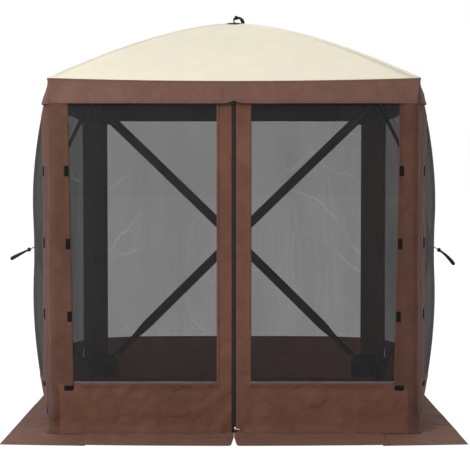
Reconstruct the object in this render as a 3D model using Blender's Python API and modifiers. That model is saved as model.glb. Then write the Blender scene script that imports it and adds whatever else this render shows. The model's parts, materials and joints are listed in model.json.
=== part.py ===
"""Pop-up screen house: a square shelter on four hub frames, with a domed roof and zipped doors.

Lengths are metres and +Z is up. The doors face -Y, and the origin lies on the ground under the
middle of the roof. The left, right and back walls bow out to a hub, and the front wall is flat.
"""

import math

import bmesh
import bpy
from mathutils import Matrix, Vector

# Shelter
SPAN = 1.83  # from corner line to corner line
EAVE_HEIGHT = 1.79
ROOF_RISE = 0.37  # from the eaves up to the cloth at the roof hub
WALL_BOW = 0.215  # from the corner lines out to the cloth at a wall hub
WALL_POWER = 1.8  # how early a wall swells out from its edges
ROOF_POWER = 1.46  # how early the roof rises from the eaves
GROUND_BOW = 0.054  # of a bowed wall's foot between its corners
EAVE_SAG = 0.015  # of each eave between its corners

# Cloth
CLOTH = 0.002  # thickness of a panel
SEAM = 0.0006  # gap between neighbouring panels
COLUMN_LEG = 0.10  # width of a corner column on each wall
BASE_BAND = 0.255  # height of the base band
EAVE_LIP = 0.008  # of the canopy past the corners and the front
EAVE_LIP_BOWED = 0.024  # of the canopy past the middle of a bowed wall
EAVE_TUCK = 0.0095  # of the walls' upper edges under the canopy
VALANCE_DROP = 0.125
VALANCE_SEAT = 0.0023  # of its upper edge below the canopy's outer face
VALANCE_FLARE = 0.025  # of the valance's lower edge at the corners
VALANCE_CLEAR = 0.014  # between the valance's lower edge and a bowed wall
SKIRT_SIDE = 0.215  # width of the skirt at the sides and back
SKIRT_FRONT = 0.34  # width of the front skirt at the zip
SKIRT_CORNER = 0.285  # width of the front skirt at its outer tips
SLEEVE_WIDTH = 0.05
SLEEVE_GAP = 0.0009  # between a panel and the sleeves or pockets behind it
SLEEVE_RING_INNER = 0.058  # inner radius of the ring that joins the sleeves round a hub
SLEEVE_RING = 0.016  # width of that ring
SLEEVE_TOP_SHORT = 0.26  # from an eave corner to the end of its sleeve
POCKET_LEG = 0.16  # width of a corner pocket on a bowed wall
POCKET_FRONT_LEG = 0.085  # width of a corner pocket behind the front wall
POCKET_LIFT = 0.009  # of a pocket from the ground or the eaves
LINE_GAP = 0.01  # least distance between two lines of a panel's grid

# Frame
HUB_RADIUS = 0.052
HUB_DEPTH = 0.026
PIN_CIRCLE = 0.038  # radius at which the pins lie round a hub's axis
PIN_DEPTH = 0.026  # of the pins below the cloth at the hub
PIN_RADIUS = 0.003
PIN_CLEAR = 0.0005
SLOT_WIDTH = 0.013
SLOT_START = 0.024  # radius at which a slot starts
PIN_SEAT = 0.004  # of each pin end in the hub
EYE_RADIUS = 0.0085
EYE_CLEAR = 0.0005  # between an eye and each side of its slot
ROD_RADIUS = 0.0055
ROD_CLEAR = 0.0012  # between a rod and the sleeve outside it
FERRULE_RADIUS = 0.011
FERRULE_LENGTH = 0.165
FERRULE_TAPER = 0.014
FERRULE_CLEAR = 0.0105  # between a ferrule and the pocket outside it
WALL_TIP_SHORT = 0.045  # from a corner to the end of a wall pole
ROOF_TIP_SHORT = 0.085  # from a corner to the end of a roof pole
CAP_RADIUS = 0.046
CAP_CLEAR = 0.0009  # between a cap and the edge of the hole in the cloth
CAP_PROUD = 0.0015  # of a cap over the cloth
CAP_SEAT = 0.0004  # between a cap and its hub
EAR_GAP = 0.0054
EAR_WIDTH = 0.0035
EAR_HEIGHT = 0.012
EAR_REACH = 0.011
STRAP_HINGE = 0.008  # of a strap's hinge over the cap's face
NECK_RADIUS = 0.0022
NECK_LENGTH = 0.022
KNOT_RADIUS = 0.0105
KNOT_LENGTH = 0.024
KNOT_SHAPE = ((0.2, 0.85), (0.55, 1.0))  # shares of its length and of its radius
STRAP_LENGTH = 0.085
STRAP_STEPS = (0.35, 0.7, 1.0)  # shares of the strap at which it bends
STRAP_START_RADIUS = 0.0045
STRAP_END_RADIUS = 0.0075
ROOF_STRAP_LENGTH = 0.05

# Doors
DOOR_DROP = 0.135  # of the doors' upper edges below the eaves
DOOR_BAND = 0.075  # width of the band beside the zip
DOOR_LIFT = 0.005  # of the doors from the ground
DOOR_GAP = 0.0008  # between a door and its column
ZIP_TAPE = 0.0105  # width of each half of the zip
ZIP_GAP = 0.0005  # from the middle of the front to each half
ZIP_FOOT = 0.02  # from the ground to the lower end of the zip
SKIRT_PART = 0.018  # of each door's skirt from the middle at the hem
SKIRT_ROUND = 0.03  # rounding of the skirt at the zip
SLIDER_SIZE = Vector((0.010, 0.008, 0.018))
SLIDER_FOOT = 0.034  # from the ground to the slider at rest
SLIDER_GAP = 0.0004  # between the slider and the tape
PEG_RADIUS = 0.0015
PEG_CLEAR = 0.0005  # between the peg and the hole in the pull
PEG_LENGTH = 0.0042
PULL_LENGTH = 0.028
PULL_WIDTH = 0.007
PULL_THICK = 0.0018
PULL_GAP = 0.0006
PULL_DROOP = math.radians(10)

# Worked out
HALF = SPAN / 2
HUB_HEIGHT = EAVE_HEIGHT / 2
WINDOW_EDGE = HALF - COLUMN_LEG
WALL_REACH = math.hypot(HALF, HUB_HEIGHT)  # from a wall hub to a corner, across the wall
ROOF_REACH = math.hypot(HALF, HALF)
CAP_HOLE = CAP_RADIUS + CAP_CLEAR
SLEEVE_INSET = CLOTH + SLEEVE_GAP
POCKET_INSET = CLOTH + SLEEVE_GAP
ROD_INSET = SLEEVE_INSET + CLOTH + ROD_CLEAR + ROD_RADIUS
FERRULE_INSET = POCKET_INSET + CLOTH + FERRULE_CLEAR + FERRULE_RADIUS
VALANCE_FOOT = EAVE_HEIGHT - VALANCE_DROP
DOOR_TOP = EAVE_HEIGHT - DOOR_DROP
HUB_TOP = PIN_DEPTH - HUB_DEPTH / 2  # depth of a hub's outer face below the cloth

# Shares of the way from a hub to an edge at which the cloth and the poles bend
RINGS = (0.09, 0.3, 0.52, 0.7, 1 - POCKET_LEG / HALF, 1 - COLUMN_LEG / HALF)
FOOT_ROWS = [HUB_HEIGHT * (1 - share) for share in reversed(RINGS[-2:])]
UP = Vector((0, 0, 1))
OUT = {
    "front": Vector((0, -1, 0)),
    "right": Vector((1, 0, 0)),
    "back": Vector((0, 1, 0)),
    "left": Vector((-1, 0, 0)),
}
BOWED = ("left", "right", "back")
CORNERS = {
    "front_right": ("front", "right"),
    "back_right": ("right", "back"),
    "back_left": ("back", "left"),
    "front_left": ("left", "front"),
}
COLOURS = {
    "beige_cloth": ((0.83, 0.77, 0.64), 0.75, 0.0),
    "brown_cloth": ((0.13, 0.065, 0.045), 0.7, 0.0),
    "grey_mesh": ((0.05, 0.05, 0.052), 0.8, 0.0),
    "black_webbing": ((0.012, 0.012, 0.013), 0.7, 0.0),
    "black_fibreglass": ((0.015, 0.015, 0.016), 0.35, 0.0),
    "black_plastic": ((0.018, 0.018, 0.02), 0.45, 0.0),
    "zip_metal": ((0.6, 0.6, 0.58), 0.3, 1.0),
}


def clear_scene():
    """Empties the scene."""
    for item in list(bpy.data.objects):
        bpy.data.objects.remove(item, do_unlink=True)


def new_collection(name):
    """A collection linked to the scene."""
    group = bpy.data.collections.new(name)
    bpy.context.scene.collection.children.link(group)
    return group


def finish(name):
    """The material of that name, made once."""
    if name in bpy.data.materials:
        return bpy.data.materials[name]
    colour, roughness, metallic = COLOURS[name]
    material = bpy.data.materials.new(name)
    material.use_nodes = True
    shader = material.node_tree.nodes["Principled BSDF"]
    shader.inputs["Base Color"].default_value = (*colour, 1.0)
    shader.inputs["Roughness"].default_value = roughness
    shader.inputs["Metallic"].default_value = metallic
    return material


def add(name, mesh, colour, parent=None, place=None):
    """A named part made from a mesh, placed under its parent."""
    part = bpy.data.objects.new(name, mesh)
    PARTS.objects.link(part)
    if not mesh.materials:
        mesh.materials.append(finish(colour))
    part.parent = parent
    part.matrix_basis = place or Matrix()
    return part


def mesh_from(bm, name):
    """A mesh that takes over a bmesh."""
    mesh = bpy.data.meshes.new(name)
    bm.to_mesh(mesh)
    bm.free()
    return mesh


def helper(name, mesh):
    """A guide object for cuts and unions, which is no part."""
    guide = bpy.data.objects.new(name, mesh)
    CUTTERS.objects.link(guide)
    guide.hide_render = True
    guide.display_type = "WIRE"
    return guide


def combine(part, guide, operation):
    """Cuts a guide out of a part, or joins it on."""
    step = part.modifiers.new(guide.name, "BOOLEAN")
    step.object = guide
    step.operation = operation


def baked(guide):
    """The mesh of a guide with its modifiers worked out, and its loose caps welded."""
    bpy.context.view_layer.update()
    graph = bpy.context.evaluated_depsgraph_get()
    mesh = bpy.data.meshes.new_from_object(guide.evaluated_get(graph))
    bm = bmesh.new()
    bm.from_mesh(mesh)
    bmesh.ops.remove_doubles(bm, verts=bm.verts, dist=0.00001)
    bm.to_mesh(mesh)
    bm.free()
    mesh.materials.clear()
    bpy.data.objects.remove(guide, do_unlink=True)
    return mesh


def cylinder(bm, radius, length, place, sides=24):
    """Adds a closed cylinder along its own Z to a bmesh."""
    bmesh.ops.create_cone(
        bm, cap_ends=True, segments=sides, radius1=radius, radius2=radius, depth=length, matrix=place
    )


def block(bm, size, place):
    """Adds a box to a bmesh."""
    bmesh.ops.create_cube(bm, size=1.0, matrix=place @ Matrix.Diagonal((*size, 1.0)))


def tube(name, points):
    """A closed tube through (position, radius) pairs, as a mesh."""
    curve = bpy.data.curves.new(name, "CURVE")
    curve.dimensions = "3D"
    curve.bevel_depth = 1.0
    curve.bevel_resolution = 2
    curve.use_fill_caps = True
    line = curve.splines.new("POLY")
    line.points.add(len(points) - 1)
    for knot, (position, radius) in zip(line.points, points):
        knot.co = (*position, 1.0)
        knot.radius = radius
    return baked(helper(name, curve))


def bow_drop(share, power):
    """How much of a bow is gone at a share of the way from the hub, in straight runs between rings."""
    stops = (0.0, *RINGS, 1.0)
    for low, high in zip(stops, stops[1:]):
        if share <= high:
            break
    start, end = low**power, high**power
    return start + (end - start) * (share - low) / (high - low)


def along(wall):
    """The way along a wall, to the right as seen from outside."""
    return UP.cross(OUT[wall])


def wall_swell(wall, a, h):
    """How far a wall's cloth stands out, at a from its middle and h over the ground."""
    if wall == "front":
        return 0.0
    u = abs(a) / HALF
    v = abs(h - HUB_HEIGHT) / HUB_HEIGHT
    foot = GROUND_BOW * max(v * v - u * u, 0.0) if h < HUB_HEIGHT else 0.0
    return WALL_BOW * (1 - bow_drop(max(u, v), WALL_POWER)) + foot


def wall_point(wall, a, h, inset=0.0):
    """A point of a wall's cloth, or inset behind it."""
    depth = HALF + wall_swell(wall, a, h) - inset
    return along(wall) * a + OUT[wall] * depth + UP * h


def eave_sag(a):
    """How far an eave hangs down at a from its middle."""
    return EAVE_SAG * max(1 - (a / HALF) ** 2, 0.0)


def wall_top(a):
    """Height of a wall's upper edge."""
    return EAVE_HEIGHT - EAVE_TUCK - eave_sag(a)


def eave_lip(wall, a):
    """How far the canopy reaches past a wall."""
    if wall == "front":
        return EAVE_LIP
    return EAVE_LIP + (EAVE_LIP_BOWED - EAVE_LIP) * max(1 - (a / HALF) ** 4, 0.0)


def roof_height(x, y):
    """Height of the canopy's outer face. The sag fades from the eaves to the poles."""
    far = max(abs(x), abs(y))
    near = min(abs(x), abs(y))
    rise = ROOF_RISE * (1 - bow_drop(far / HALF, ROOF_POWER))
    sag = EAVE_SAG * (far * far - near * near) / HALF**2
    return EAVE_HEIGHT + rise - sag


def stations(low, high, scale, middle=0.0):
    """Grid lines from low to high, with the rings between them."""
    rings = [middle + side * share * scale for share in RINGS for side in (-1, 1)]
    between = [s for s in (*rings, middle) if low + LINE_GAP < s < high - LINE_GAP]
    return [low, *sorted(between), high]


def crease_outward(bm):
    """Splits each four-sided face along the diagonal that stands further out."""
    bm.normal_update()
    for face in [f for f in bm.faces if len(f.verts) == 4]:
        a, b, c, d = face.verts
        lift = (a.co + c.co - b.co - d.co).dot(face.normal)
        ends = (a, c) if lift >= 0 else (b, d)
        bmesh.utils.face_split(face, *ends)


def thicken(part):
    """Gives a cloth surface its thickness, inwards."""
    step = part.modifiers.new("Cloth", "SOLIDIFY")
    step.thickness = CLOTH
    step.offset = -1.0
    step.use_even_offset = True
    step.use_quality_normals = True


def laid_grid(columns, rows, place, window=None):
    """A grid laid by place(column, row), without the cells whose middle is in the window."""
    bm = bmesh.new()
    wide, high = len(columns) - 1, len(rows) - 1
    bmesh.ops.create_grid(bm, x_segments=wide, y_segments=high, size=1.0)
    index = {v: (round((v.co.x + 1) * wide / 2), round((v.co.y + 1) * high / 2)) for v in bm.verts}
    if window:
        cells = {f: [min(index[v][k] for v in f.verts) for k in (0, 1)] for f in bm.faces}
        cut = [f for f, (i, j) in cells.items() if window(columns[i], columns[i + 1], rows[j])]
        bmesh.ops.delete(bm, geom=cut, context="FACES")
    for vert in bm.verts:
        i, j = index[vert]
        vert.co = place(columns[i], rows[j])
    crease_outward(bm)
    return bm


def sheet(name, columns, rows, place, colour, window=None):
    """A cloth panel laid on a surface."""
    part = add(name, mesh_from(laid_grid(columns, rows, place, window), name), colour)
    thicken(part)
    return part


def hub_hole(name, place):
    """The guide that cuts the round hole for a cap."""
    bm = bmesh.new()
    cylinder(bm, CAP_HOLE, 4 * HUB_DEPTH, place, sides=32)
    return helper(name, mesh_from(bm, name))


def hub_frame(name, wall):
    """An empty at the cloth in front of a hub: X along the wall, Y up it, Z out of it."""
    empty = bpy.data.objects.new(name, None)
    PARTS.objects.link(empty)
    if wall == "roof":
        empty.location = (0, 0, EAVE_HEIGHT + ROOF_RISE)
        return empty
    axes = Matrix((along(wall), UP, OUT[wall])).transposed()
    empty.matrix_basis = Matrix.Translation(wall_point(wall, 0, HUB_HEIGHT)) @ axes.to_4x4()
    return empty


def arm_angles(wall):
    """The four angles at which the poles leave a hub."""
    rise = math.atan2(HALF, HALF) if wall == "roof" else math.atan2(HUB_HEIGHT, HALF)
    return {"upper_a": rise, "upper_b": math.pi - rise, "lower_b": math.pi + rise, "lower_a": -rise}


POLE_ENDS = {
    "left": ("upper_front", "upper_back", "lower_back", "lower_front"),
    "right": ("upper_back", "upper_front", "lower_front", "lower_back"),
    "back": ("upper_left", "upper_right", "lower_right", "lower_left"),
    "roof": ("back_right", "back_left", "front_left", "front_right"),
}


def turned(angle, radius, height=0.0):
    """A place at a radius and angle round a hub's axis, with X pointing away from it."""
    return Matrix.Rotation(angle, 4, "Z") @ Matrix.Translation((radius, 0, height))


def hub_mesh(wall):
    """A moulded hub: a disc with four slots and a cross pin in each."""
    across = Matrix.Rotation(math.pi / 2, 4, "X")
    body, slots, pins = bmesh.new(), bmesh.new(), bmesh.new()
    cylinder(body, HUB_RADIUS, HUB_DEPTH, Matrix.Translation((0, 0, -PIN_DEPTH)))
    slot_length = 2 * HUB_RADIUS
    for angle in arm_angles(wall).values():
        place = turned(angle, SLOT_START + slot_length / 2, -PIN_DEPTH)
        block(slots, (slot_length, SLOT_WIDTH, 2 * HUB_DEPTH), place)
        pin = turned(angle, PIN_CIRCLE, -PIN_DEPTH) @ across
        cylinder(pins, PIN_RADIUS, SLOT_WIDTH + 2 * PIN_SEAT, pin, sides=12)
    part = helper(wall + "_hub_body", mesh_from(body, wall + "_hub"))
    slot_guide = helper(wall + "_hub_slots", mesh_from(slots, "slots"))
    pin_guide = helper(wall + "_hub_pins", mesh_from(pins, "pins"))
    combine(part, slot_guide, "DIFFERENCE")
    combine(part, pin_guide, "UNION")
    return baked(part)


def pole_profile(reach, bow, power, tip_short):
    """(position, radius) pairs of a pole from its pin to its tip, in the pole's own frame."""
    tip = reach - tip_short
    ferrule = tip - FERRULE_LENGTH

    def at(rho, inset):
        drop = bow * bow_drop(rho / reach, power)
        return Vector((rho - PIN_CIRCLE, 0, PIN_DEPTH - drop - inset))

    rings = [share * reach for share in RINGS if share * reach < ferrule - 4 * FERRULE_TAPER]
    points = [(Vector((0, 0, 0)), ROD_RADIUS)]
    points += [(at(rho, ROD_INSET), ROD_RADIUS) for rho in rings]
    points.append((at(ferrule - FERRULE_TAPER, ROD_INSET), ROD_RADIUS))
    middle = ferrule + FERRULE_LENGTH / 2
    points += [(at(rho, FERRULE_INSET), FERRULE_RADIUS) for rho in (ferrule, middle, tip)]
    return points


def pole_mesh(name, reach, bow, power, tip_short):
    """A pole: a rod with a ferrule at its tip and an eye round its pin."""
    across = Matrix.Rotation(math.pi / 2, 4, "X")
    eye, hole = bmesh.new(), bmesh.new()
    cylinder(eye, EYE_RADIUS, SLOT_WIDTH - 2 * EYE_CLEAR, across, sides=16)
    cylinder(hole, PIN_RADIUS + PIN_CLEAR, 2 * SLOT_WIDTH, across, sides=12)
    rod = helper(name, tube(name, pole_profile(reach, bow, power, tip_short)))
    combine(rod, helper(name + "_eye", mesh_from(eye, "eye")), "UNION")
    combine(rod, helper(name + "_hole", mesh_from(hole, "hole")), "DIFFERENCE")
    return baked(rod)


def cap_mesh():
    """A hub cap: a disc that fills the hole in the cloth, with two ears for the strap."""
    depth = HUB_TOP - CAP_SEAT + CAP_PROUD
    disc, ears = bmesh.new(), bmesh.new()
    cylinder(disc, CAP_RADIUS, depth, Matrix.Translation((0, 0, CAP_PROUD - depth / 2)), sides=32)
    for side in (-1, 1):
        middle = Vector((side * (EAR_GAP + EAR_WIDTH) / 2, 0, CAP_PROUD + EAR_REACH / 2 - depth / 4))
        block(ears, (EAR_WIDTH, EAR_HEIGHT, EAR_REACH + depth / 2), Matrix.Translation(middle))
    part = helper("cap_disc", mesh_from(disc, "hub_cap"))
    combine(part, helper("cap_ears", mesh_from(ears, "ears")), "UNION")
    return baked(part)


def strap_mesh(name, length, droop, curl, stand=0.0):
    """A pull strap from its hinge: neck, knot and strap, drooping in its own YZ plane.

    droop is the angle below the hinge's outward axis, curl the further bend over the strap,
    and stand the angle that the neck alone is lifted by.
    """
    radii = [(0.0, NECK_RADIUS), (NECK_LENGTH, NECK_RADIUS)]
    radii += [(NECK_LENGTH + KNOT_LENGTH * far, KNOT_RADIUS * wide) for far, wide in KNOT_SHAPE]
    radii.append((NECK_LENGTH + KNOT_LENGTH, STRAP_START_RADIUS))
    for step in STRAP_STEPS:
        thick = STRAP_START_RADIUS + (STRAP_END_RADIUS - STRAP_START_RADIUS) * step
        radii.append((NECK_LENGTH + KNOT_LENGTH + length * step, thick))
    position = Vector((0, 0, 0))
    points = [(position, radii[0][1])]
    total = radii[-1][0]
    for (start, _), (end, radius) in zip(radii, radii[1:]):
        angle = droop + curl * end / total - (stand if end <= NECK_LENGTH else 0.0)
        position = position + Vector((0, -math.sin(angle), math.cos(angle))) * (end - start)
        points.append((position, radius))
    return tube(name, points)


STRAPS = {
    "left": (STRAP_LENGTH, math.radians(26), math.radians(4), 0.0),
    "right": (STRAP_LENGTH, math.radians(26), math.radians(24), 0.0),
    "back": (STRAP_LENGTH, math.radians(26), math.radians(12), 0.0),
    "roof": (ROOF_STRAP_LENGTH, math.radians(46), math.radians(70), math.radians(60)),
}


def build_hub(wall, hub, poles, cap):
    """One hub with its cap, poles and pull strap, all under the hub's empty."""
    empty = hub_frame(wall + "_hub_axis", wall)
    add(wall + "_hub", hub, "black_plastic", empty)
    turn = Matrix.Rotation(math.pi / 2 if wall == "roof" else 0.0, 4, "Z")
    add(wall + "_hub_cap", cap, "black_plastic", empty, turn)
    for end, angle in zip(POLE_ENDS[wall], arm_angles(wall).values()):
        add(f"{wall}_pole_{end}", poles, "black_fibreglass", empty, turned(angle, PIN_CIRCLE, -PIN_DEPTH))
    strap = strap_mesh(wall + "_pull_strap", *STRAPS[wall])
    hinge = turn @ Matrix.Translation((0, 0, CAP_PROUD + STRAP_HINGE))
    add(wall + "_pull_strap", strap, "black_webbing", empty, hinge)
    return empty


def build_frame():
    """The four hub frames."""
    wall_poles = pole_mesh("wall_pole", WALL_REACH, WALL_BOW, WALL_POWER, WALL_TIP_SHORT)
    roof_poles = pole_mesh("roof_pole", ROOF_REACH, ROOF_RISE, ROOF_POWER, ROOF_TIP_SHORT)
    wall_hub, roof_hub, cap = hub_mesh("left"), hub_mesh("roof"), cap_mesh()
    empties = {}
    for wall in BOWED:
        empties[wall] = build_hub(wall, wall_hub, wall_poles, cap)
    empties["roof"] = build_hub("roof", roof_hub, roof_poles, cap)
    return empties


def build_canopy(hole):
    """The domed roof cloth."""
    edge = HALF + EAVE_LIP
    lines = stations(-edge, edge, HALF)

    def place(x, y):
        if abs(x) == edge:
            x = math.copysign(HALF + eave_lip("right", min(abs(y), HALF)), x)
        if abs(y) == edge:
            y = math.copysign(HALF + eave_lip("front" if y < 0 else "back", min(abs(x), HALF)), y)
        return Vector((x, y, roof_height(x, y)))

    canopy = sheet("roof_canopy", lines, lines, place, "beige_cloth")
    combine(canopy, hole, "DIFFERENCE")


def build_valance():
    """The band that hangs round the eaves: a tube drawn out to the square plan."""
    lines = stations(-HALF, HALF, HALF)[:-1]
    sides = ("front", "right", "back", "left")
    count = len(lines) * len(sides)
    bm = bmesh.new()
    bmesh.ops.create_cone(bm, cap_ends=False, segments=count, radius1=1.0, radius2=1.0, depth=1.0)
    for vert in bm.verts:
        k = round(math.atan2(vert.co.y, vert.co.x) / (2 * math.pi / count)) % count
        wall, a = sides[k // len(lines)], lines[k % len(lines)]
        if vert.co.z > 0:
            out = eave_lip(wall, a)
            height = roof_height(HALF + out, abs(a)) - VALANCE_SEAT
        else:
            out = max(VALANCE_FLARE, wall_swell(wall, a, VALANCE_FOOT) + VALANCE_CLEAR)
            height = VALANCE_FOOT
        if abs(a) == HALF:
            before = sides[k // len(lines) - 1]
            vert.co = (OUT[before] + OUT[wall]) * (HALF + out) + UP * height
        else:
            vert.co = along(wall) * a + OUT[wall] * (HALF + out) + UP * height
    crease_outward(bm)
    part = add("valance", mesh_from(bm, "valance"), "brown_cloth")
    thicken(part)


def build_screen(wall, hole):
    """The mesh of a bowed wall."""
    columns = stations(-WINDOW_EDGE + SEAM, WINDOW_EDGE - SEAM, HALF)
    rows = stations(BASE_BAND + SEAM, EAVE_HEIGHT, HUB_HEIGHT, HUB_HEIGHT)

    def place(a, h):
        return wall_point(wall, a, min(h, wall_top(a)))

    screen = sheet(wall + "_screen", columns, rows, place, "grey_mesh")
    combine(screen, hole, "DIFFERENCE")


def build_sleeves(wall):
    """The four pole sleeves of a wall, drawn out of a ring round its hub."""
    rim = SLEEVE_RING_INNER + SLEEVE_RING
    half = SLEEVE_WIDTH / 2
    angles = list(arm_angles(wall).values())
    across = 3  # points across a sleeve
    count = across * len(angles)
    bm = bmesh.new()
    bmesh.ops.create_cone(bm, cap_ends=False, segments=count, radius1=2.0, radius2=1.0, depth=1.0)
    for vert in bm.verts:
        k = round(math.atan2(vert.co.y, vert.co.x) / (2 * math.pi / count)) % count
        angle = angles[k // across] + (k % across - 1) * math.asin(half / rim)
        radius = rim if vert.co.z < 0 else SLEEVE_RING_INNER
        vert.co = (radius * math.cos(angle), radius * math.sin(angle), 0)
    low_end = WALL_REACH * (1 - (BASE_BAND + half + SEAM) / HUB_HEIGHT)
    for angle in angles:
        way = Vector((math.cos(angle), math.sin(angle), 0))
        side = Vector((-way.y, way.x, 0))
        end = WALL_REACH - SLEEVE_TOP_SHORT if way.y > 0 else low_end
        near = [v for v in bm.verts if v.co.dot(way) > 0 and abs(v.co.dot(side)) < half + LINE_GAP]
        start = {v for v in near if v.co.length > rim - SLEEVE_RING / 2}
        edges = [e for e in bm.edges if start.issuperset(e.verts)]
        bends = [s * WALL_REACH for s in RINGS if rim + LINE_GAP < s * WALL_REACH < end - LINE_GAP]
        for reach in (*bends, end):
            fresh = bmesh.ops.extrude_edge_only(bm, edges=edges)["geom"]
            made = {g for g in fresh if isinstance(g, bmesh.types.BMVert)}
            edges = [g for g in fresh if isinstance(g, bmesh.types.BMEdge) and made.issuperset(g.verts)]
            for vert in made:
                vert.co = way * reach + side * half * round(vert.co.dot(side) / half)
    for vert in bm.verts:
        vert.co = wall_point(wall, vert.co.x, HUB_HEIGHT + vert.co.y, SLEEVE_INSET)
    crease_outward(bm)
    part = add(wall + "_sleeves", mesh_from(bm, wall + "_sleeves"), "black_webbing")
    thicken(part)


def corner_sheet(name, walls, columns, rows, colour, inset=0.0):
    """A cloth panel that goes round a corner, at columns before it and after it."""
    before, after = walls

    def place(s, h):
        if s < 0:
            return wall_point(before, HALF + s, h, inset)
        if s > 0:
            return wall_point(after, -HALF + s, h, inset)
        return (OUT[before] + OUT[after]) * (HALF - inset) + UP * h

    return sheet(name, columns, rows, place, colour)


def pocket_leg(wall):
    """Distances from a corner at which a pocket bends or ends on a wall."""
    if wall == "front":
        return [POCKET_FRONT_LEG]
    return [COLUMN_LEG, POCKET_LEG]


def build_corners():
    """The columns, and the pockets inside them at the ground and under the eaves."""
    top = EAVE_HEIGHT - EAVE_TUCK
    for corner, (before, after) in CORNERS.items():
        walls = (before, after)
        rows = stations(BASE_BAND + SEAM, top, HUB_HEIGHT, HUB_HEIGHT)
        corner_sheet(corner + "_column", walls, [-COLUMN_LEG, 0.0, COLUMN_LEG], rows, "brown_cloth")
        columns = [-leg for leg in reversed(pocket_leg(before))] + [0.0] + pocket_leg(after)
        low = [POCKET_LIFT, *FOOT_ROWS]
        high = [*(HUB_HEIGHT * (1 + share) for share in RINGS[-2:]), EAVE_HEIGHT - POCKET_LIFT]
        corner_sheet(corner + "_lower_pocket", walls, columns, low, "black_webbing", POCKET_INSET)
        corner_sheet(corner + "_upper_pocket", walls, columns, high, "black_webbing", POCKET_INSET)


def front_hem(x):
    """How far the front skirt's hem lies from the middle of the shelter at x."""
    tip = HALF + SKIRT_SIDE
    return HALF + SKIRT_CORNER + (SKIRT_FRONT - SKIRT_CORNER) * (1 - (x / tip) ** 2)


def hem_tip(corner):
    """The outer tip of the skirt at a corner, on the ground."""
    before, after = (OUT[wall] for wall in CORNERS[corner])
    side = HALF + SKIRT_SIDE
    tip = (before + after) * side
    if corner.startswith("front"):
        tip.y = -front_hem(side)
    return tip


def build_base(wall):
    """A base band with its skirt. The side ones go on round the front corners to the doors."""
    ends = {"left": ("back_left", "front_left"), "right": ("front_right", "back_right")}
    ends["back"] = ("back_right", "back_left")
    first, last = (hem_tip(corner) for corner in ends[wall])
    reach = HALF - 2 * (CLOTH + SEAM) if wall == "back" else HALF
    lines = stations(-reach, reach, HALF)
    path = [(wall, a, first.lerp(last, (a + reach) / (2 * reach))) for a in lines]
    turn = Vector((WINDOW_EDGE, -front_hem(WINDOW_EDGE), 0))
    if wall == "left":
        turn.x = -turn.x
        path.append(("front", -WINDOW_EDGE, turn))
    if wall == "right":
        path.insert(0, ("front", WINDOW_EDGE, turn))
    if wall == "back":
        mitre = along(wall) * 2 * (CLOTH + SEAM)
        path[0] = (*path[0][:2], first + mitre)
        path[-1] = (*path[-1][:2], last - mitre)

    def place(station, row):
        side, a, hem = station
        if row < 0:
            return hem + UP * CLOTH
        return wall_point(side, a, max(row, CLOTH))

    sheet(wall + "_base", path, [-1.0, 0.0, *FOOT_ROWS, BASE_BAND], place, "brown_cloth")


def build_door(side, sign):
    """A door half on the front wall: its screen, its border with the skirt, and its zip tape."""
    edge = sign * (WINDOW_EDGE - DOOR_GAP)
    band_in = sign * (ZIP_GAP + ZIP_TAPE + SEAM)
    band_out = band_in + sign * DOOR_BAND
    foot = DOOR_LIFT + CLOTH
    inner = band_in + sign * SKIRT_ROUND

    def place(x, row):
        if row >= 0:
            return wall_point("front", x, max(row, foot))
        if x == band_in:
            return Vector((sign * SKIRT_PART, SKIRT_ROUND - front_hem(x), foot))
        return Vector((x, -front_hem(x), foot))

    def window(start, end, row):
        return row >= BASE_BAND and max(abs(start), abs(end)) > abs(band_out) + SEAM

    quarter = (edge + band_out) / 2
    columns = sorted([edge, quarter, band_out, inner, band_in])
    rows = [-1.0, 0.0, BASE_BAND, (BASE_BAND + DOOR_TOP) / 2, DOOR_TOP]
    sheet(side + "_door_border", columns, rows, place, "brown_cloth", window)
    span = sorted([edge, quarter, band_out + sign * SEAM])
    sheet(side + "_door_screen", span, [BASE_BAND + SEAM, *rows[3:]], place, "grey_mesh")
    tape = sorted([sign * ZIP_GAP, sign * (ZIP_GAP + ZIP_TAPE)])
    sheet(side + "_zip_tape", tape, [ZIP_FOOT, *rows[2:]], place, "black_webbing")


def build_header():
    """The strip of the front wall over the doors, behind the valance."""
    columns = stations(-WINDOW_EDGE + SEAM, WINDOW_EDGE - SEAM, HALF)

    def place(x, h):
        return wall_point("front", x, min(h, wall_top(x)))

    sheet("front_header", columns, [DOOR_TOP + DOOR_GAP, EAVE_HEIGHT], place, "grey_mesh")


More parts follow.
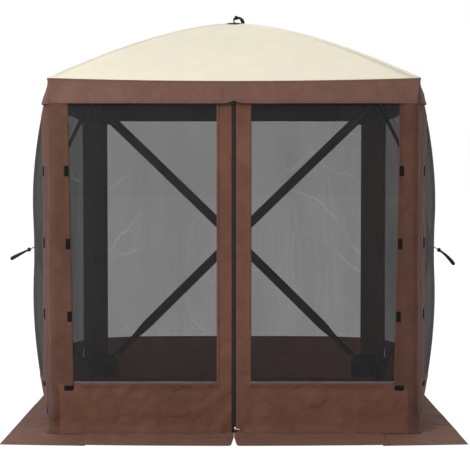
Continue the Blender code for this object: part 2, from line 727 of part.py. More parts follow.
def build_zip():
    """The zip slider at the foot of the right half of the zip, and its pull."""
    across = Matrix.Rotation(math.pi / 2, 4, "X")
    middle_x = ZIP_GAP + SLIDER_SIZE.x / 2
    body, peg = bmesh.new(), bmesh.new()
    height = SLIDER_FOOT + SLIDER_SIZE.z / 2
    block(body, SLIDER_SIZE, Matrix())
    cylinder(peg, PEG_RADIUS, 2 * PEG_LENGTH, Matrix.Translation((0, -SLIDER_SIZE.y / 2, 0)) @ across, 12)
    guide = helper("slider_body", mesh_from(body, "zip_slider"))
    soften = guide.modifiers.new("Soften", "BEVEL")
    soften.width = SLIDER_SIZE.y / 5
    soften.segments = 2
    combine(guide, helper("slider_peg", mesh_from(peg, "peg")), "UNION")
    middle = Vector((middle_x, -(HALF + SLIDER_GAP + SLIDER_SIZE.y / 2), height))
    slider = add("zip_slider", baked(guide), "zip_metal", None, Matrix.Translation(middle))
    pull, hole = bmesh.new(), bmesh.new()
    cylinder(pull, PULL_WIDTH / 2, PULL_THICK, across, sides=16)
    far = Vector((PULL_LENGTH - PULL_WIDTH, 0, 0))
    for vert in pull.verts:
        if vert.co.x > PEG_RADIUS:
            vert.co += far
    cylinder(hole, PEG_RADIUS + PEG_CLEAR, 2 * PULL_THICK, across, sides=12)
    plate = helper("pull_plate", mesh_from(pull, "zip_pull"))
    combine(plate, helper("pull_hole", mesh_from(hole, "hole")), "DIFFERENCE")
    front = Vector((0, -(SLIDER_SIZE.y / 2 + PULL_GAP + PULL_THICK / 2), 0))
    droop = Matrix.Rotation(PULL_DROOP, 4, "Y")
    add("zip_pull", baked(plate), "zip_metal", slider, Matrix.Translation(front) @ droop)


clear_scene()
PARTS = new_collection("screen_house")
CUTTERS = new_collection("screen_house_cutters")
FRAMES = build_frame()
bpy.context.view_layer.update()
HOLES = {wall: hub_hole(wall + "_cap_hole", FRAMES[wall].matrix_world) for wall in FRAMES}
build_canopy(HOLES["roof"])
build_valance()
for bowed_wall in BOWED:
    build_screen(bowed_wall, HOLES[bowed_wall])
    build_sleeves(bowed_wall)
    build_base(bowed_wall)
build_corners()
build_header()
build_door("left", -1)
build_door("right", 1)
build_zip()
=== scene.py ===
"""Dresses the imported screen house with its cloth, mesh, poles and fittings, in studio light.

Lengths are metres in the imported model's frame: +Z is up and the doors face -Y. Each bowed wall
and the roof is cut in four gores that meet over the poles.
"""

from __future__ import annotations

import json
import logging
import math
from collections.abc import Callable, Sequence
from dataclasses import dataclass
from enum import Enum, Flag, auto
from functools import partial

import bmesh
import bpy
from mathutils import Matrix, Vector, noise

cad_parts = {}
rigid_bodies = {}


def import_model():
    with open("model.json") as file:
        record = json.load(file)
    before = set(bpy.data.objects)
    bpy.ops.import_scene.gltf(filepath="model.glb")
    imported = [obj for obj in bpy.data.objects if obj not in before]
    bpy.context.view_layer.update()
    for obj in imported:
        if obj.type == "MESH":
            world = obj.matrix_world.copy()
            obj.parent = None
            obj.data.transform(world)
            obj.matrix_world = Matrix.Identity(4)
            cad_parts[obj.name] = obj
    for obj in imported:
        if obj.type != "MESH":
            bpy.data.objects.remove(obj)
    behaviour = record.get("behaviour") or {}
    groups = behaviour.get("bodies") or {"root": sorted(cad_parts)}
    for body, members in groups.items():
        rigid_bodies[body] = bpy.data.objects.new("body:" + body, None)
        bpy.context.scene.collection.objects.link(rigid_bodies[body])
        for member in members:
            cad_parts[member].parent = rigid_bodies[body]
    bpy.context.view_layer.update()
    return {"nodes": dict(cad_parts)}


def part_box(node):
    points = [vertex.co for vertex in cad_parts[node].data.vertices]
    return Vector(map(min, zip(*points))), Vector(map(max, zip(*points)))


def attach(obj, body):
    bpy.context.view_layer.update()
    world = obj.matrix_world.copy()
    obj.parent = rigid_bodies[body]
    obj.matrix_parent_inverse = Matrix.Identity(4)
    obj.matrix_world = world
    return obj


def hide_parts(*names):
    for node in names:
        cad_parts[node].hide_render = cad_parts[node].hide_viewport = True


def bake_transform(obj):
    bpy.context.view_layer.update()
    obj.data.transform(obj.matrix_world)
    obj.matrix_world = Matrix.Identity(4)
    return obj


LOG = logging.getLogger("screen_house")
UP = Vector((0.0, 0.0, 1.0))
TURN = 2.0 * math.pi
SHELTER = "shelter"
WELD = 1e-5  # points nearer than this are one
CLOTH = 0.0012  # thickness of the brown and beige cloth
HEM_RISE = 0.0011  # of a turned hem over the cloth beside it
TAB_HEIGHTS = (1.32, 0.955, 0.59)  # of the tall tabs on a leg
TAB_STEPS = (-1.0, -0.9, -0.5, 0.0, 0.5, 0.9, 1.0)  # shares across a tab
TAB_LIFT = {1.0: 0.0014, 0.9: 0.0032, 0.5: 0.0038, 0.0: 0.0038}  # height of a tab at a share

Piece = bpy.types.Object
Colour = tuple[float, float, float]
Pair = tuple[float, float]
Pairs = tuple[Pair, ...]


# Shader maths


class Value:
    """A node's output socket that takes part in Python arithmetic."""

    def __init__(self, shade: Shade, socket: bpy.types.NodeSocket) -> None:
        """Keeps the socket and the tree that it belongs to."""
        self.shade = shade
        self.socket = socket

    def _math(self, operation: str, first: Value | float, second: Value | float = 0.0) -> Value:
        """The result of a new Math node; some operations don't use the second value."""
        return self.shade.node("ShaderNodeMath", {"operation": operation}, {0: first, 1: second})

    def __add__(self, other: Value | float) -> Value:
        """The sum."""
        return self._math("ADD", self, other)

    def __radd__(self, other: float) -> Value:
        """The sum, from the right."""
        return self._math("ADD", other, self)

    def __sub__(self, other: Value | float) -> Value:
        """The difference."""
        return self._math("SUBTRACT", self, other)

    def __rsub__(self, other: float) -> Value:
        """The difference, from the right."""
        return self._math("SUBTRACT", other, self)

    def __mul__(self, other: Value | float) -> Value:
        """The product."""
        return self._math("MULTIPLY", self, other)

    def __rmul__(self, other: float) -> Value:
        """The product, from the right."""
        return self._math("MULTIPLY", other, self)

    def __abs__(self) -> Value:
        """The size without its sign."""
        return self._math("ABSOLUTE", self)

    def sine(self) -> Value:
        """The sine of the value in radians."""
        return self._math("SINE", self)

    def larger(self, other: Value | float) -> Value:
        """The larger of two values."""
        return self._math("MAXIMUM", self, other)

    def between(self, low: float, high: float) -> Value:
        """A smooth step from 0 at low to 1 at high."""
        inputs = {"Value": self, "From Min": low, "From Max": high}
        return self.shade.node("ShaderNodeMapRange", {"interpolation_type": "SMOOTHSTEP"}, inputs)


class Shade:
    """A node tree of a material or the world, with the nodes that finishes are made of."""

    def __init__(self, tree: bpy.types.NodeTree, output: str = "ShaderNodeOutputMaterial") -> None:
        """Empties the tree and adds its output node.

        Args:
            tree: the tree.
            output: the type of its output node.
        """
        self.tree = tree
        tree.nodes.clear()
        self.output = tree.nodes.new(output)

    def node(
        self,
        kind: str,
        settings: dict[str, object] | None = None,
        inputs: dict[str | int, object] | None = None,
        output: str | int = 0,
    ) -> Value:
        """Adds a node.

        Args:
            kind: the node's type.
            settings: its own settings, set first.
            inputs: a value or a link for each socket that is named or numbered.
            output: the socket to give back.

        Returns:
            The wrapped output socket.
        """
        made = self.tree.nodes.new(kind)
        for key, setting in (settings or {}).items():
            setattr(made, key, setting)
        for key, given in (inputs or {}).items():
            socket = made.inputs[key]
            if isinstance(given, Value):
                self.tree.links.new(given.socket, socket)
            elif socket.type == "RGBA":
                socket.default_value = (*given, 1.0)
            else:
                socket.default_value = given
        return Value(self, made.outputs[output])

    def flat(self) -> tuple[Value, Value]:
        """The place in the flat cloth, in metres across and along.

        Returns:
            The two values.
        """
        uv = self.node("ShaderNodeTexCoord", output="UV")
        parts = self.node("ShaderNodeSeparateXYZ", {}, {0: uv})
        return parts, Value(self, parts.socket.node.outputs[1])

    def place(self, stretch: Colour = (1.0, 1.0, 1.0)) -> Value:
        """The place on the piece, stretched so that a pattern is finer along each axis."""
        spot = self.node("ShaderNodeTexCoord", output="Object")
        return self.node("ShaderNodeVectorMath", {"operation": "MULTIPLY"}, {0: spot, 1: stretch})

    def noise(self, place: Value, scale: float, detail: float) -> Value:
        """Noise from 0 to 1 with so many bumps to a metre and so many finer layers."""
        inputs = {"Vector": place, "Scale": scale, "Detail": detail}
        return self.node("ShaderNodeTexNoise", {}, inputs)

    def mix(self, factor: Value | float, first: Value | Colour, second: Value | Colour) -> Value:
        """Two colours mixed; the factor is the share of the second."""
        sockets = {0: factor, 6: first, 7: second}
        return self.node("ShaderNodeMix", {"data_type": "RGBA"}, sockets, output=2)

    def bump(self, height: Value) -> Value:
        """A normal from a height in metres."""
        inputs = {"Height": height, "Distance": 1.0, "Strength": 1.0}
        return self.node("ShaderNodeBump", {}, inputs)

    def surface(self, **sockets: object) -> None:
        """Shows a Principled surface; its inputs have _ for each space in a name."""
        inputs = {key.replace("_", " "): given for key, given in sockets.items()}
        self.show(self.node("ShaderNodeBsdfPrincipled", {}, inputs))

    def show(self, shader: Value) -> None:
        """Joins a shader to the output."""
        self.tree.links.new(shader.socket, self.output.inputs["Surface"])


def new_shade(name: str) -> tuple[bpy.types.Material, Shade]:
    """A new material and its tree.

    Args:
        name: the material's name.

    Returns:
        The material and the tree to fill.
    """
    material = bpy.data.materials.new(name)
    material.use_nodes = True
    return material, Shade(material.node_tree)


# Finishes


@dataclass(frozen=True)
class Finish:
    """A finish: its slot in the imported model, its colour and the nodes of its material."""

    slot: str
    colour: Colour

    def fill(self, shade: Shade) -> None:
        """Adds the finish's nodes to an empty tree."""
        raise NotImplementedError

    def material(self, name: str) -> bpy.types.Material:
        """A new material of this finish.

        Args:
            name: its name.

        Returns:
            The material.
        """
        material, shade = new_shade(name)
        self.fill(shade)
        return material


@dataclass(frozen=True)
class WovenCloth(Finish):
    """Coated plain-weave cloth: creases with painted shade, uneven tone and stitched hems."""

    # the colour of the uneven tone at random, and of the painted shade in the creases
    deep: Colour
    thread: Colour
    roughness: float = 0.7
    pitch: float = 0.0026
    crease: float = 0.0034
    stitch: float = 0.0075
    stitch_inset: float = 0.0085

    def fill(self, shade: Shade) -> None:
        """Adds the nodes of the weave, the creases and the stitches.

        Args:
            shade: the empty tree.
        """
        across, along = shade.flat()
        broad = shade.noise(shade.place(), 2.3, 3.0)
        creases = shade.noise(shade.place((0.8, 1.0, 0.75)), 15.0, 4.0)
        wrinkles = abs(shade.noise(shade.place((0.7, 0.9, 0.75)), 8.5, 2.0) - 0.5)
        grain = shade.noise(shade.place(), 170.0, 2.0)
        weave = (across * (TURN / self.pitch)).sine() * (along * (TURN / self.pitch)).sine()
        hem = shade.node("ShaderNodeAttribute", {"attribute_name": "hem"}, output="Fac")
        row = 1.0 - abs(hem - self.stitch_inset).between(0.0006, 0.0014)
        stitch = row * ((across + along) * (TURN / self.stitch)).sine().between(-0.35, 0.1)
        # painted shade: the crease and wrinkle heights of the bump also darken the colour toward
        # deep in their valleys; broad and grain are the cloth's own uneven tone
        tone = broad * 0.55 + creases * 0.3 + wrinkles * 0.65 + grain * 0.12 + weave * 0.05
        colour = shade.mix(tone.between(0.25, 0.8), self.deep, self.colour)
        colour = shade.mix(stitch * 0.8, colour, self.thread)
        height = (creases + wrinkles * 9.0) * self.crease
        height = height + weave * 0.00006 + grain * 0.00008 - row * 0.0004
        shade.surface(
            Base_Color=colour,
            Roughness=self.roughness + (grain - 0.5) * 0.14 + weave * 0.03,
            Specular_IOR_Level=0.14,
            Sheen_Weight=0.01,
            Normal=shade.bump(height),
        )


@dataclass(frozen=True)
class InsectMesh(Finish):
    """Fine knitted mesh that lets a share of the light through, with a few pale fold lines."""

    pale: Colour
    cover: float
    pitch: float = 0.0022

    def fill(self, shade: Shade) -> None:
        """Adds the nodes of the threads and their see-through gaps.

        Args:
            shade: the empty tree.
        """
        across, along = shade.flat()
        threads = abs((across * (math.pi / self.pitch)).sine())
        threads = threads.larger(abs((along * (math.pi / self.pitch)).sine()))
        drift = shade.noise(shade.place((1.0, 1.0, 0.3)), 5.0, 3.0)
        slub = shade.noise(shade.place((1.0, 1.0, 0.06)), 90.0, 2.0)
        phase = (across * 0.7 + along) * 17.0 + drift * 4.5
        patchy = shade.noise(shade.place(), 2.4, 1.0).between(0.5, 0.65)
        fold = phase.sine().between(0.985, 1.0) * patchy
        cover = self.cover + threads * 0.012 + (drift - 0.5) * 0.12 + (slub - 0.5) * 0.07
        shade.surface(
            Base_Color=shade.mix(drift, self.colour, self.pale),
            Roughness=0.78 + (slub - 0.5) * 0.2,
            Specular_IOR_Level=0.2,
            Alpha=cover - fold * 0.08,
            Normal=shade.bump(threads * 0.00003 + slub * 0.0002),
        )


@dataclass(frozen=True)
class Webbing(Finish):
    """Woven tape with a slanted rib and a dusty, worn tone."""

    worn: Colour
    rib: float = 0.0032

    def fill(self, shade: Shade) -> None:
        """Adds the nodes of the ribs and the dust.

        Args:
            shade: the empty tree.
        """
        across, along = shade.flat()
        ribs = ((across + along * 0.6) * (TURN / self.rib)).sine()
        cross = (along * (TURN / (self.rib * 0.55))).sine()
        dust = shade.noise(shade.place(), 14.0, 4.0)
        fuzz = shade.noise(shade.place(), 420.0, 2.0)
        tone = (dust * 0.7 + ribs * 0.12 + fuzz * 0.3).between(0.3, 0.95)
        shade.surface(
            Base_Color=shade.mix(tone, self.colour, self.worn),
            Roughness=0.74 + (fuzz - 0.5) * 0.22,
            Specular_IOR_Level=0.25,
            Sheen_Weight=0.06,
            Normal=shade.bump(ribs * 0.00012 + cross * 0.00005 + fuzz * 0.0001),
        )


@dataclass(frozen=True)
class HookTape(Finish):
    """Hook-and-loop tape: a matt pile of short loops."""

    worn: Colour

    def fill(self, shade: Shade) -> None:
        """Adds the nodes of the pile and the lint.

        Args:
            shade: the empty tree.
        """
        loops = {"Vector": shade.place(), "Scale": 640.0}
        pile = shade.node("ShaderNodeTexVoronoi", {}, loops)
        lint = shade.noise(shade.place(), 60.0, 4.0)
        tone = (lint * 0.8 + pile * 0.3).between(0.35, 1.0)
        shade.surface(
            Base_Color=shade.mix(tone, self.colour, self.worn),
            Roughness=0.86 + (lint - 0.5) * 0.16,
            Specular_IOR_Level=0.12,
            Sheen_Weight=0.01,
            Normal=shade.bump(lint * 0.0004 - pile * 0.0005),
        )


@dataclass(frozen=True)
class GlassRod(Finish):
    """Pultruded fibreglass: smooth, with fine streaks along it."""

    streak: Colour

    def fill(self, shade: Shade) -> None:
        """Adds the nodes of the streaks and the scuffs.

        Args:
            shade: the empty tree.
        """
        across, along = shade.flat()
        flow = shade.node("ShaderNodeCombineXYZ", {}, {0: across * 900.0, 1: along * 6.0})
        streaks = shade.noise(flow, 1.0, 3.0)
        scuff = shade.noise(shade.place(), 35.0, 4.0)
        shade.surface(
            Base_Color=shade.mix(streaks.between(0.4, 0.8), self.colour, self.streak),
            Roughness=0.3 + streaks * 0.12 + scuff.between(0.55, 0.8) * 0.25,
            Coat_Weight=0.2 + scuff * 0.1,
            Normal=shade.bump(streaks * 0.00006),
        )


@dataclass(frozen=True)
class Moulded(Finish):
    """Moulded nylon with a fine spark-eroded grain and rubbed edges."""

    rubbed: Colour

    def fill(self, shade: Shade) -> None:
        """Adds the nodes of the grain and the rubbed edges.

        Args:
            shade: the empty tree.
        """
        grain = shade.noise(shade.place(), 1100.0, 2.0)
        scuff = shade.noise(shade.place(), 70.0, 4.0)
        edge = shade.node("ShaderNodeNewGeometry", output="Pointiness").between(0.52, 0.62)
        wear = edge * scuff.between(0.35, 0.7)
        shade.surface(
            Base_Color=shade.mix(wear * 0.6 + scuff * 0.15, self.colour, self.rubbed),
            Roughness=0.42 + grain * 0.14 + scuff.between(0.5, 0.8) * 0.1,
            Specular_IOR_Level=0.45,
            Normal=shade.bump(grain * 0.00005),
        )


@dataclass(frozen=True)
class CastMetal(Finish):
    """Plated zinc casting, dulled where fingers and grit rub it."""

    dull: Colour

    def fill(self, shade: Shade) -> None:
        """Adds the nodes of the tarnish and the scratches.

        Args:
            shade: the empty tree.
        """
        tarnish = shade.noise(shade.place(), 260.0, 4.0).between(0.35, 0.75)
        scratch = shade.noise(shade.place((1.0, 1.0, 0.1)), 1800.0, 2.0)
        shade.surface(
            Base_Color=shade.mix(tarnish, self.colour, self.dull),
            Metallic=1.0 - tarnish * 0.15,
            Roughness=0.24 + tarnish * 0.22 + scratch * 0.08,
            Normal=shade.bump(scratch * 0.00004),
        )


@dataclass(frozen=True)
class Coil(Finish):
    """Nylon zip coil: close turns side by side along the zip."""

    shine: Colour
    turn: float = 0.0021

    def fill(self, shade: Shade) -> None:
        """Adds the nodes of the turns and the dust.

        Args:
            shade: the empty tree.
        """
        across, along = shade.flat()
        turns = abs(((along + across * 0.25) * (math.pi / self.turn)).sine())
        dust = shade.noise(shade.place(), 40.0, 3.0)
        shade.surface(
            Base_Color=shade.mix(turns * 0.5 + dust * 0.2, self.colour, self.shine),
            Roughness=0.55 + dust * 0.2,
            Specular_IOR_Level=0.25,
            Normal=shade.bump(turns * 0.0004),
        )


class Skin(Enum):
    """The finishes of the screen house."""

    # each woven cloth: its slot, its colour, the colour of its uneven tone and of the painted shade
    # in its creases, and its thread
    ROOF = WovenCloth(
        "beige_cloth", (0.80, 0.755, 0.615), (0.75, 0.70, 0.56), (0.62, 0.57, 0.45), crease=0.0004
    )
    BROWN = WovenCloth(
        "brown_cloth", (0.133, 0.059, 0.040), (0.089, 0.038, 0.025), (0.044, 0.021, 0.015)
    )
    COLUMN = WovenCloth(
        "brown_cloth", (0.094, 0.043, 0.029), (0.062, 0.027, 0.018), (0.034, 0.017, 0.012)
    )
    # painted light: a lighter copy of the brown cloth, for the valance that tilts up to the light
    # and for the back wall's base band
    FADED = WovenCloth(
        "brown_cloth", (0.150, 0.077, 0.059), (0.112, 0.056, 0.043), (0.055, 0.028, 0.021)
    )
    # painted light: a lighter copy of the brown cloth for the skirts that lie on the ground, lit
    # from above
    SKIRT = WovenCloth(
        "brown_cloth", (0.190, 0.094, 0.068), (0.146, 0.071, 0.051), (0.070, 0.034, 0.025)
    )
    # painted light: a much lighter copy of the brown cloth on the inner face of the back wall's
    # base band, which lies in shade
    LINING = WovenCloth(
        "brown_cloth", (0.31, 0.132, 0.098), (0.24, 0.100, 0.074), (0.11, 0.055, 0.042)
    )
    MESH = InsectMesh("grey_mesh", (0.014, 0.014, 0.015), (0.027, 0.027, 0.028), 0.577)
    DENSE_MESH = InsectMesh("grey_mesh", (0.013, 0.013, 0.014), (0.024, 0.024, 0.025), 0.86)
    WEBBING = Webbing("black_webbing", (0.008, 0.008, 0.009), (0.024, 0.024, 0.026))
    PIPING = Webbing("brown_cloth", (0.085, 0.080, 0.078), (0.15, 0.14, 0.135))
    TAPE = HookTape("black_webbing", (0.0028, 0.0026, 0.0026), (0.010, 0.009, 0.0085))
    ROD = GlassRod("black_fibreglass", (0.014, 0.014, 0.015), (0.045, 0.044, 0.042))
    PLASTIC = Moulded("black_plastic", (0.016, 0.016, 0.017), (0.085, 0.082, 0.078))
    METAL = CastMetal("zip_metal", (0.70, 0.68, 0.64), (0.42, 0.40, 0.37))
    COIL = Coil("black_webbing", (0.007, 0.007, 0.008), (0.022, 0.022, 0.024))

    @property
    def material(self) -> bpy.types.Material:
        """The finish's material, made when first asked for."""
        name = self.name.lower()
        return bpy.data.materials.get(name) or self.value.material(name)


# The shape of the shelter


class Side(Enum):
    """The four sides, each by the way it faces."""

    FRONT = (0.0, -1.0)
    RIGHT = (1.0, 0.0)
    BACK = (0.0, 1.0)
    LEFT = (-1.0, 0.0)

    @property
    def out(self) -> Vector:
        """The way out of the shelter."""
        return Vector((*self.value, 0.0))

    @property
    def along(self) -> Vector:
        """The way from left to right, seen from outside."""
        return UP.cross(self.out)

    @property
    def label(self) -> str:
        """The side's name in the frame."""
        return self.name.lower()


class Gore(Enum):
    """The four gores of a bowed wall, by the way each one lies from the hub."""

    TOP = (0.0, 1.0)
    FOOT = (0.0, -1.0)
    LEAD = (1.0, 0.0)
    TAIL = (-1.0, 0.0)

    @property
    def arms(self) -> list[Pair]:
        """The two pole directions at its edges."""
        across, up = self.value
        return [(across or turn, up or turn) for turn in (-1.0, 1.0)]


class Hem(Flag):
    """The edges of a patch that are turned over and stitched."""

    NONE = 0
    FIRST_ROW = auto()
    LAST_ROW = auto()
    FIRST_COLUMN = auto()
    LAST_COLUMN = auto()


def ripple(x: float, y: float, seed: float) -> float:
    """Smooth noise from -1 to 1 at a place, the same on each run."""
    return noise.noise(Vector((x, y, seed)))


def ease(share: float) -> float:
    """A smooth step of a share that is held between 0 and 1."""
    share = min(max(share, 0.0), 1.0)
    return share * share * (3.0 - 2.0 * share)


def lerp(low: float, high: float, share: float) -> float:
    """The value at a share of the way from low to high."""
    return low + (high - low) * share


def steps(low: float, high: float, count: int) -> list[float]:
    """Evenly spaced values from low to high, both ends among them."""
    return [lerp(low, high, step / count) for step in range(count + 1)]


@dataclass(frozen=True)
class Form:
    """The shelter's outline: a square plan, three bowed walls and a domed roof."""

    half: float = 0.915
    eave: float = 1.79
    rise: float = 0.37
    bow: float = 0.215
    wall_power: float = 1.8
    roof_power: float = 1.46
    ground_bow: float = 0.054
    sag: float = 0.015
    tuck: float = 0.0095
    lip: float = 0.015
    bowed_lip: float = 0.009
    band: float = 0.255
    leg: float = 0.10
    foot_round: float = 0.055
    front_taper: float = 0.011
    wall_slack: float = 0.007
    roof_slack: float = 0.012

    @property
    def hub(self) -> float:
        """The height of a wall's hub."""
        return self.eave / 2

    @property
    def window(self) -> float:
        """The share of the half width at which a window meets its column."""
        return 1.0 - self.leg / self.half

    @property
    def band_share(self) -> float:
        """The share of the hub's height at which the base band begins."""
        return 1.0 - self.band / self.hub

    def swell(self, side: Side, a: float, h: float) -> float:
        """How far a wall stands out of the square plan.

        Args:
            side: the wall.
            a: the place along it.
            h: the height.

        Returns:
            The distance.
        """
        if side is Side.FRONT:
            return 0.0
        u = min(abs(a) / self.half, 1.0)
        v = min(abs(h - self.hub) / self.hub, 1.0)
        share = max(u, v)
        lean = min(u, v) / share if share else 1.0
        slack = self.wall_slack * (1.0 - lean * lean) * 4.0 * share * (1.0 - share)
        foot = self.ground_bow * max(v * v - u * u, 0.0) if h < self.hub else 0.0
        return self.bow * (1.0 - share**self.wall_power) + foot - slack

    def wall(self, side: Side, a: float, h: float, lift: float = 0.0) -> Vector:
        """The point at a place along a wall and a height, so far outside the cloth."""
        reach = self.half + self.swell(side, a, h) + lift
        return side.along * a + side.out * reach + UP * h

    def wall_top(self, a: float) -> float:
        """The height of a wall's upper edge."""
        return self.eave - self.tuck - self.sag * max(1.0 - (a / self.half) ** 2, 0.0)

    def roof_z(self, x: float, y: float) -> float:
        """The height of the roof at a place.

        Args:
            x: the place to the right.
            y: the place to the back.

        Returns:
            The height.
        """
        far, near = max(abs(x), abs(y)), min(abs(x), abs(y))
        share = far / self.half
        lean = near / far if far else 1.0
        slack = self.roof_slack * (1.0 - lean * lean) * 4.0 * max(share * (1.0 - share), 0.0)
        sag = self.sag * (far * far - near * near) / self.half**2
        return self.eave + self.rise * (1.0 - share**self.roof_power) - sag - slack

    def front_leg(self, h: float) -> float:
        """How far a front leg reaches along the front; it widens downwards."""
        return self.leg + lerp(self.front_taper, -self.front_taper, ease(h / self.eave))

    def turn_out(self, h: float) -> float:
        """How far the cloth stands out where it turns on to the ground.

        Args:
            h: the height.

        Returns:
            The distance.
        """
        if h >= self.foot_round:
            return 0.0
        return self.foot_round * (1.0 - math.sqrt(1.0 - (1.0 - h / self.foot_round) ** 2))

    def eave_lip(self, side: Side, a: float) -> float:
        """How far the roof's edge stands out of the square plan.

        Args:
            side: the side.
            a: the place along it.

        Returns:
            The distance.
        """
        if side is Side.FRONT:
            return self.lip
        return self.lip + self.bowed_lip * max(1.0 - (a / self.half) ** 4, 0.0)


# Cloth and solids


@dataclass
class Patch:
    """A grid of points in one finish, with the edges that are hemmed."""

    points: list[list[Vector]]
    skin: Skin
    facing: Vector
    hems: Hem = Hem.NONE
    no_hem: float = 1.0

    def flat(self) -> list[list[tuple[float, float, float]]]:
        """Lays the patch flat.

        Returns:
            The place across and along the cloth, and the distance from a hem, of each point.
        """
        rows, columns = len(self.points), len(self.points[0])
        across = [self._run(row) for row in self.points]
        along = [self._run([row[c] for row in self.points]) for c in range(columns)]
        laid = []
        for r in range(rows):
            middle = across[r][-1] / 2
            line = []
            for c in range(columns):
                gaps = {
                    Hem.FIRST_ROW: along[c][r],
                    Hem.LAST_ROW: along[c][-1] - along[c][r],
                    Hem.FIRST_COLUMN: across[r][c],
                    Hem.LAST_COLUMN: across[r][-1] - across[r][c],
                }
                near = min([self.no_hem, *(gaps[hem] for hem in gaps if hem in self.hems)])
                line.append((across[r][c] - middle, along[c][r], near))
            laid.append(line)
        return laid

    @staticmethod
    def _run(points: Sequence[Vector]) -> list[float]:
        """The distance along a line of points at each of them.

        Args:
            points: the line's points.

        Returns:
            The distances.
        """
        run = [0.0]
        for here, there in zip(points, points[1:]):
            run.append(run[-1] + (there - here).length)
        return run

    def width(self) -> float:
        """The longest row."""
        return max(self._run(row)[-1] for row in self.points)

    def length(self) -> float:
        """The longest column."""
        columns = range(len(self.points[0]))
        return max(self._run([row[c] for row in self.points])[-1] for c in columns)


def cloth_grid(
    rows: Sequence[float], columns: Sequence[float], place: Callable[[float, float], Vector]
) -> list[list[Vector]]:
    """The points of a grid, row by row, each from its row's and its column's value."""
    return [[place(row, column) for column in columns] for row in rows]


def tab_patch(
    spot: Callable[[float, float, float], Vector], middle: Pair, size: Pair, facing: Vector
) -> Patch:
    """One hook-and-loop tab.

    Args:
        spot: the point at a place along the cloth, a height and a lift.
        middle: the place along the cloth and the height of its middle.
        size: its width and height.
        facing: the way that it faces.

    Returns:
        The patch.
    """

    def place(y: float, x: float) -> Vector:
        """A point of the tab, which is thinner at its edge."""
        lift = TAB_LIFT[max(abs(x), abs(y))]
        return spot(middle[0] + x * size[0] / 2, middle[1] + y * size[1] / 2, lift)

    return Patch(cloth_grid(TAB_STEPS, TAB_STEPS, place), Skin.TAPE, facing)


def lay_patch(form: bmesh.types.BMesh, patch: Patch, skin: int) -> None:
    """Adds a patch's faces to a mesh.

    Args:
        form: the mesh.
        patch: the patch.
        skin: the number of its finish in the mesh.
    """
    uv = form.loops.layers.uv.verify()
    hem = form.verts.layers.float.get("hem") or form.verts.layers.float.new("hem")
    flat = patch.flat()
    corners = []
    for points, line in zip(patch.points, flat):
        row = [form.verts.new(point) for point in points]
        for vert, spot in zip(row, line):
            vert[hem] = spot[2]
        corners.append(row)
    faces = []
    for r in range(len(corners) - 1):
        for c in range(len(corners[0]) - 1):
            around = [(r, c), (r, c + 1), (r + 1, c + 1), (r + 1, c)]
            kept = []
            for spot in around:
                here = corners[spot[0]][spot[1]].co
                if all((here - corners[i][j].co).length > WELD for i, j in kept):
                    kept.append(spot)
            if len(kept) < 3:
                continue
            face = form.faces.new([corners[i][j] for i, j in kept])
            face.smooth = True
            face.material_index = skin
            for loop, (i, j) in zip(face.loops, kept):
                loop[uv].uv = flat[i][j][:2]
            face.normal_update()
            faces.append(face)
    if sum((face.normal * face.calc_area() for face in faces), Vector()).dot(patch.facing) < 0.0:
        bmesh.ops.reverse_faces(form, faces=faces)


def as_object(name: str, form: bmesh.types.BMesh, skins: Sequence[Skin]) -> Piece:
    """Turns a finished mesh into an object.

    Args:
        name: the object's name.
        form: the mesh, which is used up.
        skins: its finishes in the order of their numbers.

    Returns:
        The object.
    """
    bmesh.ops.delete(form, geom=[v for v in form.verts if not v.link_faces], context="VERTS")
    mesh = bpy.data.meshes.new(name)
    form.to_mesh(mesh)
    form.free()
    for skin in skins:
        mesh.materials.append(skin.material)
    piece = bpy.data.objects.new(name, mesh)
    bpy.context.scene.collection.objects.link(piece)
    return piece


def settle(piece: Piece) -> None:
    """Applies a piece's modifiers to its mesh.

    Args:
        piece: the piece.
    """
    graph = bpy.context.evaluated_depsgraph_get()
    shown = piece.evaluated_get(graph)
    mesh = bpy.data.meshes.new_from_object(shown, preserve_all_data_layers=True, depsgraph=graph)
    piece.modifiers.clear()
    piece.data = mesh


def sew(name: str, patches: Sequence[Patch], thick: float) -> Piece:
    """Sews patches to one piece of cloth.

    Args:
        name: the piece's name.
        patches: the patches, which join where their edges meet.
        thick: the cloth's thickness, or 0 for a single layer.

    Returns:
        The piece.
    """
    skins = list(dict.fromkeys(patch.skin for patch in patches))
    form = bmesh.new()
    for patch in patches:
        lay_patch(form, patch, skins.index(patch.skin))
    bmesh.ops.remove_doubles(form, verts=form.verts, dist=WELD)
    piece = as_object(name, form, skins)
    if thick:
        shell = piece.modifiers.new("thickness", "SOLIDIFY")
        shell.thickness = thick
        shell.offset = -1.0
        settle(piece)
    return piece


def declare(patches: Sequence[Patch]) -> None:
    """Works out the width and length that a piece was cut to, and keeps neither.

    Args:
        patches: what it was sewn from.
    """
    area = 0.0
    for patch in patches:
        probe = bmesh.new()
        lay_patch(probe, patch, 0)
        area += sum(face.calc_area() for face in probe.faces)
        probe.free()
    width = max(patch.width() for patch in patches)
    length = max(max(patch.length() for patch in patches), area / width)


def enlist(
    piece: Piece, body: str | None, skin: Skin, nodes: Sequence[str] = ()
) -> Piece:
    """Attaches a piece to its body and hides the nodes that it stands for.

    Args:
        piece: the piece.
        body: the body that it rides on, or None to attach it to no body.
        skin: not used.
        nodes: the nodes that it replaces.

    Returns:
        The piece.
    """
    if body:
        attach(piece, body)
    if nodes:
        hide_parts(*nodes)
    return piece


